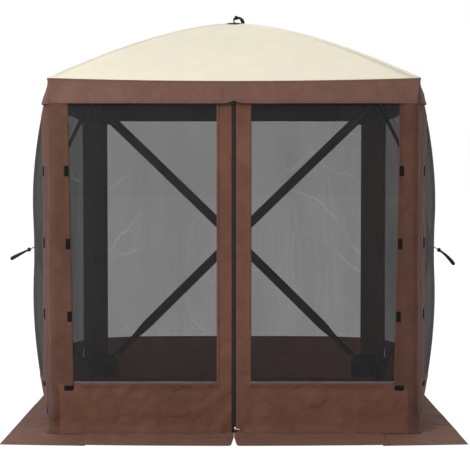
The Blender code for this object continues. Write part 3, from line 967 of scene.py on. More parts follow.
def sheet(
    name: str,
    patches: Sequence[Patch],
    skin: Skin,
    nodes: Sequence[str],
    thick: float = CLOTH,
    bend: Callable[[Piece], None] | None = None,
) -> Piece:
    """Args:
        name: the piece's name.
        patches: what it is sewn from.
        skin: handed on to enlist, which does not use it.
        nodes: the nodes that it replaces.
        thick: the cloth's thickness, or 0 for a single layer.
        bend: bakes it in place and leaves it on no body; without it, it rides on the shelter.

    Returns:
        The piece.
    """
    piece = sew(name, patches, thick)
    if bend:
        bend(piece)
    enlist(piece, None if bend else SHELTER, skin, nodes)
    declare(patches)
    return piece


def soften(piece: Piece, width: float) -> None:
    """Bevels a piece's sharp edges.

    Args:
        piece: the piece.
        width: the width of each bevel.
    """
    bevel = piece.modifiers.new("edges", "BEVEL")
    bevel.width = width
    bevel.segments = 2
    bevel.limit_method = "ANGLE"


def sweep(
    form: bmesh.types.BMesh,
    path: Sequence[Vector],
    sizes: Sequence[Pair],
    across: Vector,
    sides: int,
    closed: bool = False,
    skin: int = 0,
) -> None:
    """Adds a bar of oval section along a path.

    Args:
        form: the mesh to add to.
        path: the middle of the bar.
        sizes: half its width and half its thickness at each point.
        across: the way of its width, square to the path as nearly as may be.
        sides: the number of sides.
        closed: whether the path is a ring.
        skin: the number of its finish.
    """
    uv = form.loops.layers.uv.verify()
    count = len(path)
    rings, run = [], [0.0]
    for index, (point, (wide, thick)) in enumerate(zip(path, sizes)):
        before = path[index - 1] if closed or index else point
        after = path[(index + 1) % count] if closed or index + 1 < count else point
        ahead = (after - before).normalized()
        first = (across - ahead * across.dot(ahead)).normalized()
        second = ahead.cross(first)
        ring = []
        for step in range(sides):
            angle = TURN * step / sides
            offset = first * (wide * math.cos(angle)) + second * (thick * math.sin(angle))
            ring.append(form.verts.new(point + offset))
        rings.append(ring)
        run.append(run[-1] + (path[(index + 1) % count] - point).length)
    for index in range(count if closed else count - 1):
        here, there = rings[index], rings[(index + 1) % count]
        round_length = TURN * max(sizes[index])
        for step in range(sides):
            turn = (step + 1) % sides
            face = form.faces.new((here[step], here[turn], there[turn], there[step]))
            face.smooth = True
            face.material_index = skin
            spots = ((step, 0), (step + 1, 0), (step + 1, 1), (step, 1))
            for loop, (s, i) in zip(face.loops, spots):
                loop[uv].uv = (round_length * s / sides, run[index + i])
    if not closed:
        for ring in (list(reversed(rings[0])), rings[-1]):
            form.faces.new(ring).material_index = skin


def lathe(
    form: bmesh.types.BMesh, profile: Sequence[Pair], place: Matrix, sides: int = 48
) -> None:
    """Adds a turned shape round the Z axis of a place.

    Args:
        form: the mesh to add to.
        profile: (radius, height) pairs from the bottom's middle to the top's.
        place: where it stands.
        sides: the number of sides.
    """
    rings = []
    for radius, height in profile:
        if radius < WELD:
            rings.append([form.verts.new(place @ Vector((0.0, 0.0, height)))] * sides)
            continue
        angles = [TURN * step / sides for step in range(sides)]
        spots = [Vector((radius * math.cos(t), radius * math.sin(t), height)) for t in angles]
        rings.append([form.verts.new(place @ spot) for spot in spots])
    for here, there in zip(rings, rings[1:]):
        for step in range(sides):
            turn = (step + 1) % sides
            around = dict.fromkeys((here[step], here[turn], there[turn], there[step]))
            form.faces.new(list(around)).smooth = True


def plate(
    form: bmesh.types.BMesh,
    outline: Sequence[Pair],
    depth: Pair,
    place: Matrix,
    round_off: float,
) -> None:
    """Adds a plate of a given outline with rounded edges.

    Args:
        form: the mesh to add to.
        outline: its corners in the plane of the place's X and Y.
        depth: where it begins and ends along Z.
        place: where it stands.
        round_off: the radius of its edges.
    """
    low = [form.verts.new(place @ Vector((x, y, depth[0]))) for x, y in outline]
    high = [form.verts.new(place @ Vector((x, y, depth[1]))) for x, y in outline]
    count = len(outline)
    faces = [form.faces.new(list(reversed(low))), form.faces.new(high)]
    for index in range(count):
        turn = (index + 1) % count
        faces.append(form.faces.new((low[index], low[turn], high[turn], high[index])))
    edges = list({edge for face in faces[:2] for edge in face.edges})
    bmesh.ops.bevel(form, geom=edges, offset=round_off, segments=2, affect="EDGES", profile=0.5)


# Sub-assemblies


@dataclass
class BowedWall:
    """A mesh wall that bows out to its hub, in four gores with sleeves and a base band."""

    form: Form
    side: Side
    ring: float = 0.0475
    rows: tuple[float, ...] = (0.075, 0.1, 0.14, 0.19, 0.25, 0.32, 0.39, 0.46, 0.53, 0.6, 0.66)
    count: int = 20
    foot: float = 0.0016
    band_lift: float = 0.0012
    # how far inside the back wall's band its layer of painted light lies
    lining: float = 0.0016
    band_lap: float = 0.009
    crease: float = 0.003
    sleeve_start: float = 0.066
    sleeve_end: float = 0.83
    top_sleeve_end: float = 0.915
    sleeve_taper: Pair = (0.62, 0.72)
    sleeve_narrow: float = 0.4
    sleeve: Pairs = (
        (0.029, 0.0016),
        (0.020, 0.004),
        (0.0125, 0.0095),
        (0.007, 0.0160),
        (0.0, 0.0195),
    )
    doubling: Pairs = ((0.0472, 0.0012), (0.056, 0.0016), (0.068, 0.0016), (0.076, 0.0006))
    tape: Pairs = ((0.006, 0.0004), (0.004, 0.0026), (-0.010, 0.0028), (-0.012, 0.0012))
    leg_share: float = 0.80
    leg_lap: float = 0.012
    tab_share: float = 0.835
    tab_size: Pair = (0.026, 0.052)
    low_tab: tuple[float, float, float] = (0.23, 0.05, 0.026)

    @property
    def mesh(self) -> Skin:
        """The mesh of this wall."""
        return Skin.MESH if self.side is Side.BACK else Skin.DENSE_MESH

    @property
    def cloth(self) -> Skin:
        """The cloth of this wall's base band."""
        # the back wall's band takes the lighter copy of the brown cloth, which is painted light
        return Skin.FADED if self.side is Side.BACK else Skin.BROWN

    def spot(self, p: float, q: float, lift: float = 0.0) -> Vector:
        """A point of the wall.

        Args:
            p: the share of the half width along the wall.
            q: the share of the hub's height above the hub.
            lift: how far outside the cloth it is.

        Returns:
            The point.
        """
        a = p * self.form.half
        h = min(max(self.form.hub * (1.0 + q), self.foot), self.form.wall_top(a))
        clear = min(abs(abs(p) - abs(q)) / 0.16, (self.form.window - abs(p)) / 0.1, 1.0)
        clear = min(clear, (1.0 - abs(q)) / 0.12, math.hypot(p, q) / 0.3)
        fold = ripple(a * 4.0, h * 2.6, self.side.out.x + 3.0 * self.side.out.y)
        return self.form.wall(self.side, a, h, lift + self.crease * fold * ease(clear))

    def share(self, gore: Gore, m: float, s: float) -> Pair:
        """The shares along and up the wall at a gore's own shares.

        Args:
            gore: the gore.
            m: the share of the way out from the hub.
            s: the share across the gore, from -1 to 1.

        Returns:
            The two shares.
        """
        across, up = gore.value
        if across:
            return across * m, s * m
        return s * min(m, self.form.window), up * m

    def round_share(self, gore: Gore, s: float, radius: float) -> Pair:
        """The shares along and up the wall on a circle round the hub.

        Args:
            gore: the gore.
            s: the share across the gore, from -1 to 1.
            radius: the circle's radius.

        Returns:
            The two shares.
        """
        p, q = self.share(gore, self.form.window, s)
        way = Vector((p * self.form.half, q * self.form.hub)).normalized() * radius
        return way.x / self.form.half, way.y / self.form.hub

    def web(
        self,
        gore: Gore,
        rows: Sequence[float],
        skin: Skin,
        ends: Callable[[float], Pair],
        lift: float = 0.0,
        from_hub: bool = False,
    ) -> Patch:
        """A patch of a gore.

        Args:
            gore: the gore.
            rows: the shares of the way from the hub.
            skin: its finish.
            ends: the lowest and highest share across the gore in a row.
            lift: how far outside the wall it lies.
            from_hub: whether it begins at the hub's cap.

        Returns:
            The patch.
        """
        lines = [[self.share(gore, m, s) for s in steps(*ends(m), self.count)] for m in rows]
        if from_hub:
            across = steps(*ends(0.0), self.count)
            lines.insert(0, [self.round_share(gore, s, self.ring) for s in across])
        points = [[self.spot(p, q, lift) for p, q in line] for line in lines]
        return Patch(points, skin, self.side.out)

    def half_sleeve(self, gore: Gore, arm: Pair) -> Patch:
        """The half of a pole sleeve that is sewn to one gore.

        Args:
            gore: the gore.
            arm: the pole's direction, as signs along and up the wall.

        Returns:
            The patch.
        """
        half, hub = self.form.half, self.form.hub
        way = Vector((arm[0] * half, arm[1] * hub))
        reach = way.length
        way.normalize()
        square = Vector((-way.y, way.x))
        if square.dot(Vector(gore.value)) < 0.0:
            square.negate()
        low, high = self.sleeve_taper

        def place(rho: float, section: int) -> Vector:
            """A point of the sleeve, which narrows over the base band.

            Args:
                rho: the distance along the pole.
                section: the number of the point in the sleeve's section.

            Returns:
                The point.
            """
            wide, deep = self.sleeve[section]
            if arm[1] < 0.0:
                wide *= 1.0 - self.sleeve_narrow * ease((rho / reach - low) / (high - low))
            spot = way * rho + square * wide
            return self.spot(spot.x / half, spot.y / hub, -deep)

        end = self.sleeve_end if arm[1] < 0.0 else self.top_sleeve_end
        rows = steps(self.sleeve_start, reach * end, 26)
        points = cloth_grid(rows, range(len(self.sleeve)), place)
        return Patch(points, Skin.WEBBING, -self.side.out, Hem.FIRST_COLUMN)

    def hub_ring(self, gore: Gore) -> Patch:
        """The quarter of the doubling round the hub that is sewn to one gore.

        Args:
            gore: the gore.

        Returns:
            The patch.
        """
        points = []
        for radius, lift in self.doubling:
            line = [self.round_share(gore, s, radius) for s in steps(-1.0, 1.0, 10)]
            points.append([self.spot(p, q, lift) for p, q in line])
        return Patch(points, Skin.WEBBING, self.side.out, Hem.LAST_ROW)

    def binding(self, low: float, high: float) -> Patch:
        """The tape along the top of the base band.

        Args:
            low: the share of the half width where it begins.
            high: the share where it ends.

        Returns:
            The patch.
        """
        points = []
        for rise, lift in self.tape:
            q = (self.form.band + rise) / self.form.hub - 1.0
            points.append([self.spot(p, q, lift) for p in steps(low, high, self.count)])
        return Patch(points, self.cloth, self.side.out)

    def tab_spot(self, a: float, h: float, lift: float) -> Vector:
        """A point of a tab at a place along the wall and a height."""
        return self.spot(a / self.form.half, h / self.form.hub - 1.0, lift + self.band_lift)

    def tabs(self, across: float) -> list[Patch]:
        """The tabs on the leg at one end of the wall.

        Args:
            across: the end's sign along the wall.

        Returns:
            The patches.
        """
        a = across * self.tab_share * self.form.half
        low, wide, tall = self.low_tab
        tabs = [((a, h), self.tab_size) for h in TAB_HEIGHTS] + [((a, low), (wide, tall))]
        return [tab_patch(self.tab_spot, *tab, self.side.out) for tab in tabs]

    def whole(self, m: float) -> Pair:
        """The ends of a row that crosses all of a gore."""
        return -1.0, 1.0

    def above_band(self, m: float) -> Pair:
        """The ends of a side gore's row, which stops at the base band."""
        band = self.form.band_share
        return -1.0 if m <= band else -band / m, 1.0

    def below_band(self, m: float) -> Pair:
        """The ends of the part of a side gore's row that the base band covers."""
        return -1.0, -min(1.0, (self.form.band_share - self.band_lap) / m)

    def top_patches(self) -> list[Patch]:
        """The mesh of the upper gore.

        Returns:
            The patches.
        """
        rows = (*self.rows, self.form.band_share, 0.765, self.leg_share)
        rows = (*rows, 0.845, self.form.window, 0.93, 0.97, 1.0)
        return [self.web(Gore.TOP, rows, self.mesh, self.whole, from_hub=True)]

    def foot_patches(self) -> list[Patch]:
        """The mesh, the base band and its binding of the lower gore.

        Returns:
            The patches.
        """
        gore, window, band = Gore.FOOT, self.form.window, self.form.band_share
        rows = (band - self.band_lap, band, 0.765, 0.8251, window, 0.94, 0.975, 1.0)
        found = [
            self.web(gore, (*self.rows, band), self.mesh, self.whole, from_hub=True),
            self.web(gore, rows, self.cloth, self.whole, self.band_lift),
            self.binding(-band, band),
        ]
        # painted light: a lighter layer on the inner face of the back wall's band, which lies in
        # shade
        if self.side is Side.BACK:
            found.append(self.web(gore, rows[1:], Skin.LINING, self.whole, -self.lining))
        return found

    def end_patches(self, gore: Gore) -> list[Patch]:
        """The mesh and the base band of a gore at one end, and the leg's strip at the front.

        Args:
            gore: the gore.

        Returns:
            The patches.
        """
        window, band, leg = self.form.window, self.form.band_share, self.leg_share
        across = gore.value[0]
        corner = (band, 0.74, 0.765, leg, 0.8251, 0.86, window)
        strip = (leg - self.leg_lap, leg, leg + self.leg_lap, 0.83, 0.86, window)
        at_front = (self.side.along * across).y < -0.5
        rows = (*self.rows, band, 0.765, leg)
        rows = rows if at_front else (*rows, 0.845, window)
        found = [
            self.web(gore, rows, self.mesh, self.above_band, from_hub=True),
            self.web(gore, corner, self.cloth, self.below_band, self.band_lift),
            self.binding(across * band, across * (leg if at_front else window)),
        ]
        # painted light: a lighter layer on the inner face of the back wall's band, which lies in
        # shade
        if self.side is Side.BACK:
            found.append(self.web(gore, corner[1:], Skin.LINING, self.below_band, -self.lining))
        if at_front:
            found.append(self.web(gore, strip, Skin.COLUMN, self.above_band, self.band_lift))
            found += self.tabs(across)
        return found

    def patches(self, gore: Gore) -> list[Patch]:
        """All patches of one gore.

        Args:
            gore: the gore.

        Returns:
            The patches.
        """
        if gore is Gore.TOP:
            found = self.top_patches()
        elif gore is Gore.FOOT:
            found = self.foot_patches()
        else:
            found = self.end_patches(gore)
        found += [self.half_sleeve(gore, arm) for arm in gore.arms]
        return [*found, self.hub_ring(gore)]

    def bend(self, piece: Piece, gore: Gore) -> None:
        """Bakes a piece's transform into its mesh; the way to the gore's hub is worked out but not
        used.

        Args:
            piece: the piece.
            gore: the gore.
        """
        across, up = gore.value
        way = self.side.along * (across * self.form.half) + UP * (up * self.form.hub)
        self.side.label + "_hub"
        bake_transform(piece)

    def build(self) -> list[Piece]:
        """Builds the four gores.

        Returns:
            The pieces.
        """
        made = []
        label = self.side.label
        for gore in Gore:
            name = f"{label}_wall_{gore.name.lower()}"
            nodes = [label + "_screen", label + "_sleeves"]
            if gore is not Gore.TOP:
                nodes.append(label + "_base")
            bend = partial(self.bend, gore=gore)
            made.append(sheet(name, self.patches(gore), Skin.MESH, nodes, 0.0, bend))
        return made


@dataclass
class Roof:
    """The domed canopy in four gores, with a felled seam over each pole."""

    form: Form
    ring: float = 0.0475
    rows: tuple[float, ...] = (
        *(0.075, 0.1, 0.14, 0.19, 0.25, 0.31, 0.38, 0.45),
        *(0.52, 0.6, 0.68, 0.76, 0.83, 0.89, 0.94, 0.975),
    )
    count: int = 24
    crease: float = 0.0035
    rim: Pairs = ((0.7, 0.0), (1.0, 0.0012))
    seam_start: float = 0.052
    seam: Pairs = ((0.0, 0.0022), (0.004, 0.0022), (0.009, 0.0018), (0.0105, 0.0004))

    def spot(self, side: Side, far: float, a: float, lift: float = 0.0) -> Vector:
        """A point of the canopy.

        Args:
            side: the side that its gore is on.
            far: the distance out from the middle.
            a: the place along the side.
            lift: how far above the cloth it is.

        Returns:
            The point.
        """
        flat = side.out * far + side.along * a
        share = far / self.form.half
        clear = min((share - abs(a) / self.form.half) / 0.14, (1.0 - share) / 0.1, share / 0.3, 1.0)
        fold = ripple(flat.x * 3.2, flat.y * 3.2, 7.5)
        fold += 0.5 * ripple(flat.x * 9.0, flat.y * 9.0, 2.5)
        height = self.form.roof_z(flat.x, flat.y) + lift + self.crease * fold * ease(clear)
        return flat + UP * height

    def patches(self, side: Side) -> list[Patch]:
        """The canopy's cloth and the two half seams of one gore.

        Args:
            side: the gore's side.

        Returns:
            The patches.
        """
        half = self.form.half
        across = steps(-1.0, 1.0, self.count)
        points = []
        for s in across:
            way = Vector((1.0, s)).normalized() * self.ring
            points.append(self.spot(side, way.x, way.y))
        grid = [points]
        for m in (*self.rows, 1.0):
            grid.append([self.spot(side, m * half, s * m * half) for s in across])
        for share, drop in self.rim:
            edge = []
            for s in across:
                reach = half + share * self.form.eave_lip(side, s * half)
                edge.append(self.spot(side, reach, s * reach, -drop))
            grid.append(edge)
        seams = [self.half_seam(side, turn) for turn in (-1.0, 1.0)]
        return [Patch(grid, Skin.ROOF, UP, Hem.LAST_ROW), *seams]

    def half_seam(self, side: Side, turn: float) -> Patch:
        """The half of a felled seam that is sewn to one gore.

        Args:
            side: the gore's side.
            turn: which of its two edges.

        Returns:
            The patch.
        """
        way = Vector((1.0, turn)).normalized()
        square = Vector((1.0, -turn)).normalized()

        def place(rho: float, section: int) -> Vector:
            """A point of the seam."""
            wide, lift = self.seam[section]
            return self.spot(side, *(way * rho + square * wide), lift)

        reach = math.sqrt(2.0) * (self.form.half + self.form.lip * 0.6)
        points = cloth_grid(steps(self.seam_start, reach, 26), range(len(self.seam)), place)
        return Patch(points, Skin.ROOF, UP, Hem.LAST_COLUMN)

    def bend(self, piece: Piece, side: Side) -> None:
        """Bakes a piece's transform into its mesh.

        Args:
            piece: the piece.
            side: not used.
        """
        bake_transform(piece)

    def build(self) -> list[Piece]:
        """Builds the four gores.

        Returns:
            The pieces.
        """
        made = []
        for side in Side:
            name, bend = f"roof_gore_{side.label}", partial(self.bend, side=side)
            patches = self.patches(side)
            made.append(sheet(name, patches, Skin.ROOF, ["roof_canopy"], bend=bend))
        return made


@dataclass
class Valance:
    """The brown strip that hangs from the eaves all round."""

    form: Form
    foot: float = 1.656
    seat: float = -0.002
    flare: float = 0.022
    clear: float = 0.002
    corner: float = 0.0
    lip_clear: float = 0.0008
    foot_clear: float = 0.0005
    wave: float = 0.005
    slant: float = 0.0055
    hem_start: float = 0.88
    hem_wave: float = 0.0012
    pleat: float = 0.013
    pleat_inset: float = 0.024
    pleat_width: float = 0.012
    arch: float = 0.014
    arch_width: float = 0.019

    def spot(self, side: Side, t: float, s: float) -> Vector:
        """A point of the valance.

        Args:
            side: the side.
            t: the share of the way down.
            s: the share of the way along, from -1 to 1.

        Returns:
            The point.
        """
        form = self.form
        a = s * form.half
        lip = form.eave_lip(side, a) + self.lip_clear
        swell = form.swell(side, a, self.foot)
        free = ease((1.0 - abs(s)) / 0.16)
        hang = lerp(self.corner, max(self.flare, swell + self.clear), free)
        hang = max(hang, swell + self.clear * ease((1.0 - abs(s)) / 0.02))
        calm = ease((1.0 - abs(s)) / 0.12)
        fold = ripple(a * 7.0, side.out.x * 5.0 + side.out.y * 9.0, 4.5) * self.wave * calm
        slant = ripple(a * 11.0 + t * 2.2, side.out.x * 3.0 + side.out.y * 7.0, 8.5) * self.slant
        fine = ripple(a * 31.0 - t * 3.0, t * 2.0 + side.out.x * 5.0, 2.5 + side.out.y) * self.slant
        out = lerp(lip, hang + fold + self.foot_clear, t**0.8)
        out += (slant + 0.4 * fine) * calm * math.sin(math.pi * t)
        inset = (1.0 - abs(s)) * form.half
        if side is not Side.FRONT:
            tuck = math.exp(-(((inset - self.pleat_inset) / self.pleat_width) ** 2))
            out -= self.pleat * tuck * ease(t / 0.25)
        if t > self.hem_start:
            out += HEM_RISE
        reach = form.half + out
        flat = side.out * reach + side.along * (s * reach)
        top = form.roof_z(*(side.out * (form.half + lip) + side.along * a)[:2]) - self.seat
        low = self.hem_wave * ripple(a * 6.0, side.out.x + side.out.y * 2.0, 1.5) * calm
        low += self.foot
        if side is Side.FRONT:
            low += self.arch * math.exp(-((a / self.arch_width) ** 2))
        return flat + UP * lerp(top, low, t)

    def patches(self) -> list[Patch]:
        """One patch for each side.

        Returns:
            The patches.
        """
        corner = (0.94, 0.951, 0.96, 0.966, 0.972, 0.978, 0.986, 0.993, 1.0)
        inner = steps(-0.92, 0.92, 80)
        across = [*(-c for c in reversed(corner)), *inner, *corner]
        rows = (0.0, 0.03, 0.06, 0.2, 0.38, 0.56, 0.74, 0.87, 0.885, 0.97, 1.0)
        found = []
        for side in Side:
            points = cloth_grid(rows, across, partial(self.spot, side))
            # painted light: the valance takes the lighter copy of the brown cloth, as it tilts up
            # to the light
            found.append(Patch(points, Skin.FADED, side.out, Hem.LAST_ROW | Hem.FIRST_ROW))
        return found

    def build(self) -> list[Piece]:
        """Builds the strip.

        Returns:
            The one piece.
        """
        patches = self.patches()
        piece = sew("eave_valance", patches, CLOTH)
        enlist(piece, SHELTER, Skin.FADED, ["valance"])
        width = sum(patch.width() for patch in patches)
        length = max(patch.length() for patch in patches)
        return [piece]


@dataclass
class Corner:
    """A corner of the shelter: its brown column, black tabs and two pole pockets."""

    form: Form
    before: Side
    after: Side
    label: str
    turn_radius: float = 0.03
    crease: float = 0.0045
    hem_width: float = 0.011
    stand: Pair = (0.0004, 0.0014)
    fly_width: Pair = (0.024, 0.001)
    fly_depth: float = 0.0042
    fly_ends: Pair = (0.012, 1.74)
    tab_size: Pair = (0.022, 0.052)
    low_tab: tuple[float, float, float] = (0.23, 0.046, 0.024)
    tab_inset: float = 0.015
    low_tab_inset: float = 0.003
    tab_stand: float = 0.0022
    pocket_leg: float = 0.16
    pocket_front_leg: float = 0.085
    pocket_inset: float = 0.0034
    pocket_round: float = 0.05
    pocket_swell: float = 0.002

    @property
    def front(self) -> float:
        """The sign of the leg that is on the front, or 0 where the corner has none."""
        return float(self.after is Side.FRONT) - float(self.before is Side.FRONT)

    def raw(self, t: float, h: float, lift: float) -> Vector:
        """A point of the sharp corner, t along it from the edge.

        Args:
            t: the distance.
            h: the height.
            lift: how far outside the cloth it is.

        Returns:
            The point.
        """
        if t < 0.0:
            return self.form.wall(self.before, self.form.half + t, h, lift)
        return self.form.wall(self.after, t - self.form.half, h, lift)

    def spot(self, t: float, h: float, lift: float = 0.0) -> Vector:
        """A point of the corner with its edge rounded.

        Args:
            t: the distance round the corner from its edge.
            h: the height.
            lift: how far outside the cloth it is.

        Returns:
            The point.
        """
        if abs(t) >= self.turn_radius:
            return self.raw(t, h, lift)
        share = (t + self.turn_radius) / (2.0 * self.turn_radius)
        first = self.raw(-self.turn_radius, h, lift)
        last = self.raw(self.turn_radius, h, lift)
        edge = (self.before.out + self.after.out) * (self.form.half + lift) + UP * h
        return first * (1 - share) ** 2 + edge * (2 * share * (1 - share)) + last * share**2

    def fold(self, t: float, h: float) -> float:
        """The creases of the column at a place.

        Args:
            t: the distance round the corner from its edge.
            h: the height.

        Returns:
            How far the cloth stands out.
        """
        seed = self.before.out.x * 3.0 + self.before.out.y * 5.0
        calm = ease((self.form.leg - abs(t)) / 0.04)
        drape = ripple(t * 18.0 + h * 1.5, h * 2.2, seed)
        drape += 0.6 * ripple(t * 7.0, h * 7.0, seed + 2.0)
        low = 1.0 - ease((h - 0.12) / 0.3)
        slump = 3.0 * max(ripple(t * 26.0 + h * 11.0, h * 6.0, seed + 5.0), -0.3) * low
        if (self.before if t < 0.0 else self.after) is Side.FRONT:
            calm *= lerp(1.0, ease((h - 0.16) / 0.1), ease((abs(t) - 0.012) / 0.015))
        return self.crease * (drape + slump) * calm * ease(h / 0.05)

    def edge(self, side: Side, h: float) -> float:
        """How far a leg reaches along a side; the front legs widen a little downwards."""
        return self.form.front_leg(h) if side is Side.FRONT else self.form.leg

    def patches(self) -> list[Patch]:
        """The column's cloth, and a fly behind the edge of the door where it meets one.

        Returns:
            The patches.
        """
        leg, hem = self.form.leg, self.hem_width
        near = (hem - 0.002, hem, 0.03, 0.045, 0.06, 0.075, 0.084)
        side = [leg, *(leg - d for d in near), 0.010, 0.0067, 0.0033]
        across = [*(-t for t in side), 0.0, *reversed(side)]

        def cloth(h: float, t: float) -> Vector:
            """A point of the column, turned out a little at the ground.

            Args:
                h: the height.
                t: the distance round the corner from its edge.

            Returns:
                The point.
            """
            wall = self.before if t < 0.0 else self.after
            above = ease((h - 0.2) / 0.04)
            rim = HEM_RISE * above if abs(t) > leg - hem + 0.001 else 0.0
            reach = t * self.edge(wall, h) / leg
            turned = self.form.turn_out(h)
            if wall is not Side.FRONT:
                turned *= ease((leg - abs(t)) / 0.06)
            return self.spot(reach, h, lerp(*self.stand, above) + rim + turned + self.fold(t, h))

        rows = (0.005, 0.008, 0.013, 0.02, 0.03, 0.042, 0.06, 0.08, 0.12, 0.16, 0.2, 0.24)
        rows = (*rows, *steps(0.28, self.form.wall_top(self.form.half), 48))
        facing = self.before.out + self.after.out
        edges = Hem.FIRST_COLUMN | Hem.LAST_COLUMN
        column = Patch(cloth_grid(rows, across, cloth), Skin.COLUMN, facing, edges)
        return [column, self.fly()] if self.front else [column]

    def fly(self) -> Patch:
        """The strip behind the front leg's edge that the door closes against.

        Returns:
            The patch.
        """

        def place(h: float, share: float) -> Vector:
            """A point of the strip."""
            near, far = (self.edge(Side.FRONT, h) - inset for inset in self.fly_width)
            return self.spot(self.front * lerp(near, far, share), h, -self.fly_depth)

        points = cloth_grid(steps(*self.fly_ends, 30), steps(0.0, 1.0, 4), place)
        return Patch(points, Skin.BROWN, Side.FRONT.out)

    def tab_spot(self, t: float, h: float, lift: float) -> Vector:
        """A point of a tab at a distance round the corner and a height."""
        return self.spot(t, h, lift + self.tab_stand + self.fold(t, h))

    def tabs(self) -> list[Patch]:
        """The tabs of the front leg, if the corner has one; the bowed legs' are on the walls.

        Returns:
            The patches.
        """
        if not self.front:
            return []
        low, wide, tall = self.low_tab
        legs = [(h, self.edge(Side.FRONT, h) - self.tab_inset, self.tab_size) for h in TAB_HEIGHTS]
        reach = self.edge(Side.FRONT, low) - self.low_tab_inset - wide / 2
        found = []
        for h, t, size in (*legs, (low, reach, (wide, tall))):
            found.append(tab_patch(self.tab_spot, (self.front * t, h), size, Side.FRONT.out))
        return found

    def pocket(self, node: str) -> list[Patch]:
        """A pole pocket inside the corner.

        Args:
            node: the pocket's node, which gives its heights.

        Returns:
            Its one patch.
        """
        low, high = (corner.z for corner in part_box(node))
        upper = low > self.form.hub
        legs = [
            self.pocket_front_leg if side is Side.FRONT else self.pocket_leg
            for side in (self.before, self.after)
        ]
        turn = (-0.012, -0.006, 0.0, 0.006, 0.012)
        across = [*steps(-legs[0], -0.02, 9), *turn, *steps(0.02, legs[1], 9)]

        def place(share: float, t: float) -> Vector:
            """A point of the pocket, with the two free corners rounded off.

            Args:
                share: the share of the way from the sewn edge.
                t: the distance round the corner.

            Returns:
                The point.
            """
            leg = legs[0] if t < 0.0 else legs[1]
            past = max(abs(t) - (leg - self.pocket_round), 0.0)
            cut = self.pocket_round - math.sqrt(max(self.pocket_round**2 - past**2, 0.0))
            first, last = (high, low + cut) if upper else (low, high - cut)
            swell = self.pocket_swell * math.sin(math.pi * share) * ease((leg - abs(t)) / 0.05)
            return self.spot(t, lerp(first, last, share), -self.pocket_inset - swell)

        facing = self.before.out + self.after.out
        points = cloth_grid(steps(0.0, 1.0, 9), across, place)
        return [Patch(points, Skin.WEBBING, facing, Hem.LAST_ROW)]

    def build(self) -> list[Piece]:
        """Builds the column, its tabs and its pockets.

        Returns:
            The pieces.
        """
        node = self.label + "_column"
        made = [sheet(node + "_cloth", self.patches(), Skin.BROWN, [node])]
        tabs = self.tabs()
        if tabs:
            piece = sew(self.label + "_tabs", tabs, CLOTH)
            made.append(enlist(piece, SHELTER, Skin.TAPE))
        for level in ("lower", "upper"):
            node = f"{self.label}_{level}_pocket"
            cloth = self.pocket(node)
            made.append(sheet(node + "_cloth", cloth, Skin.WEBBING, [node]))
        return made


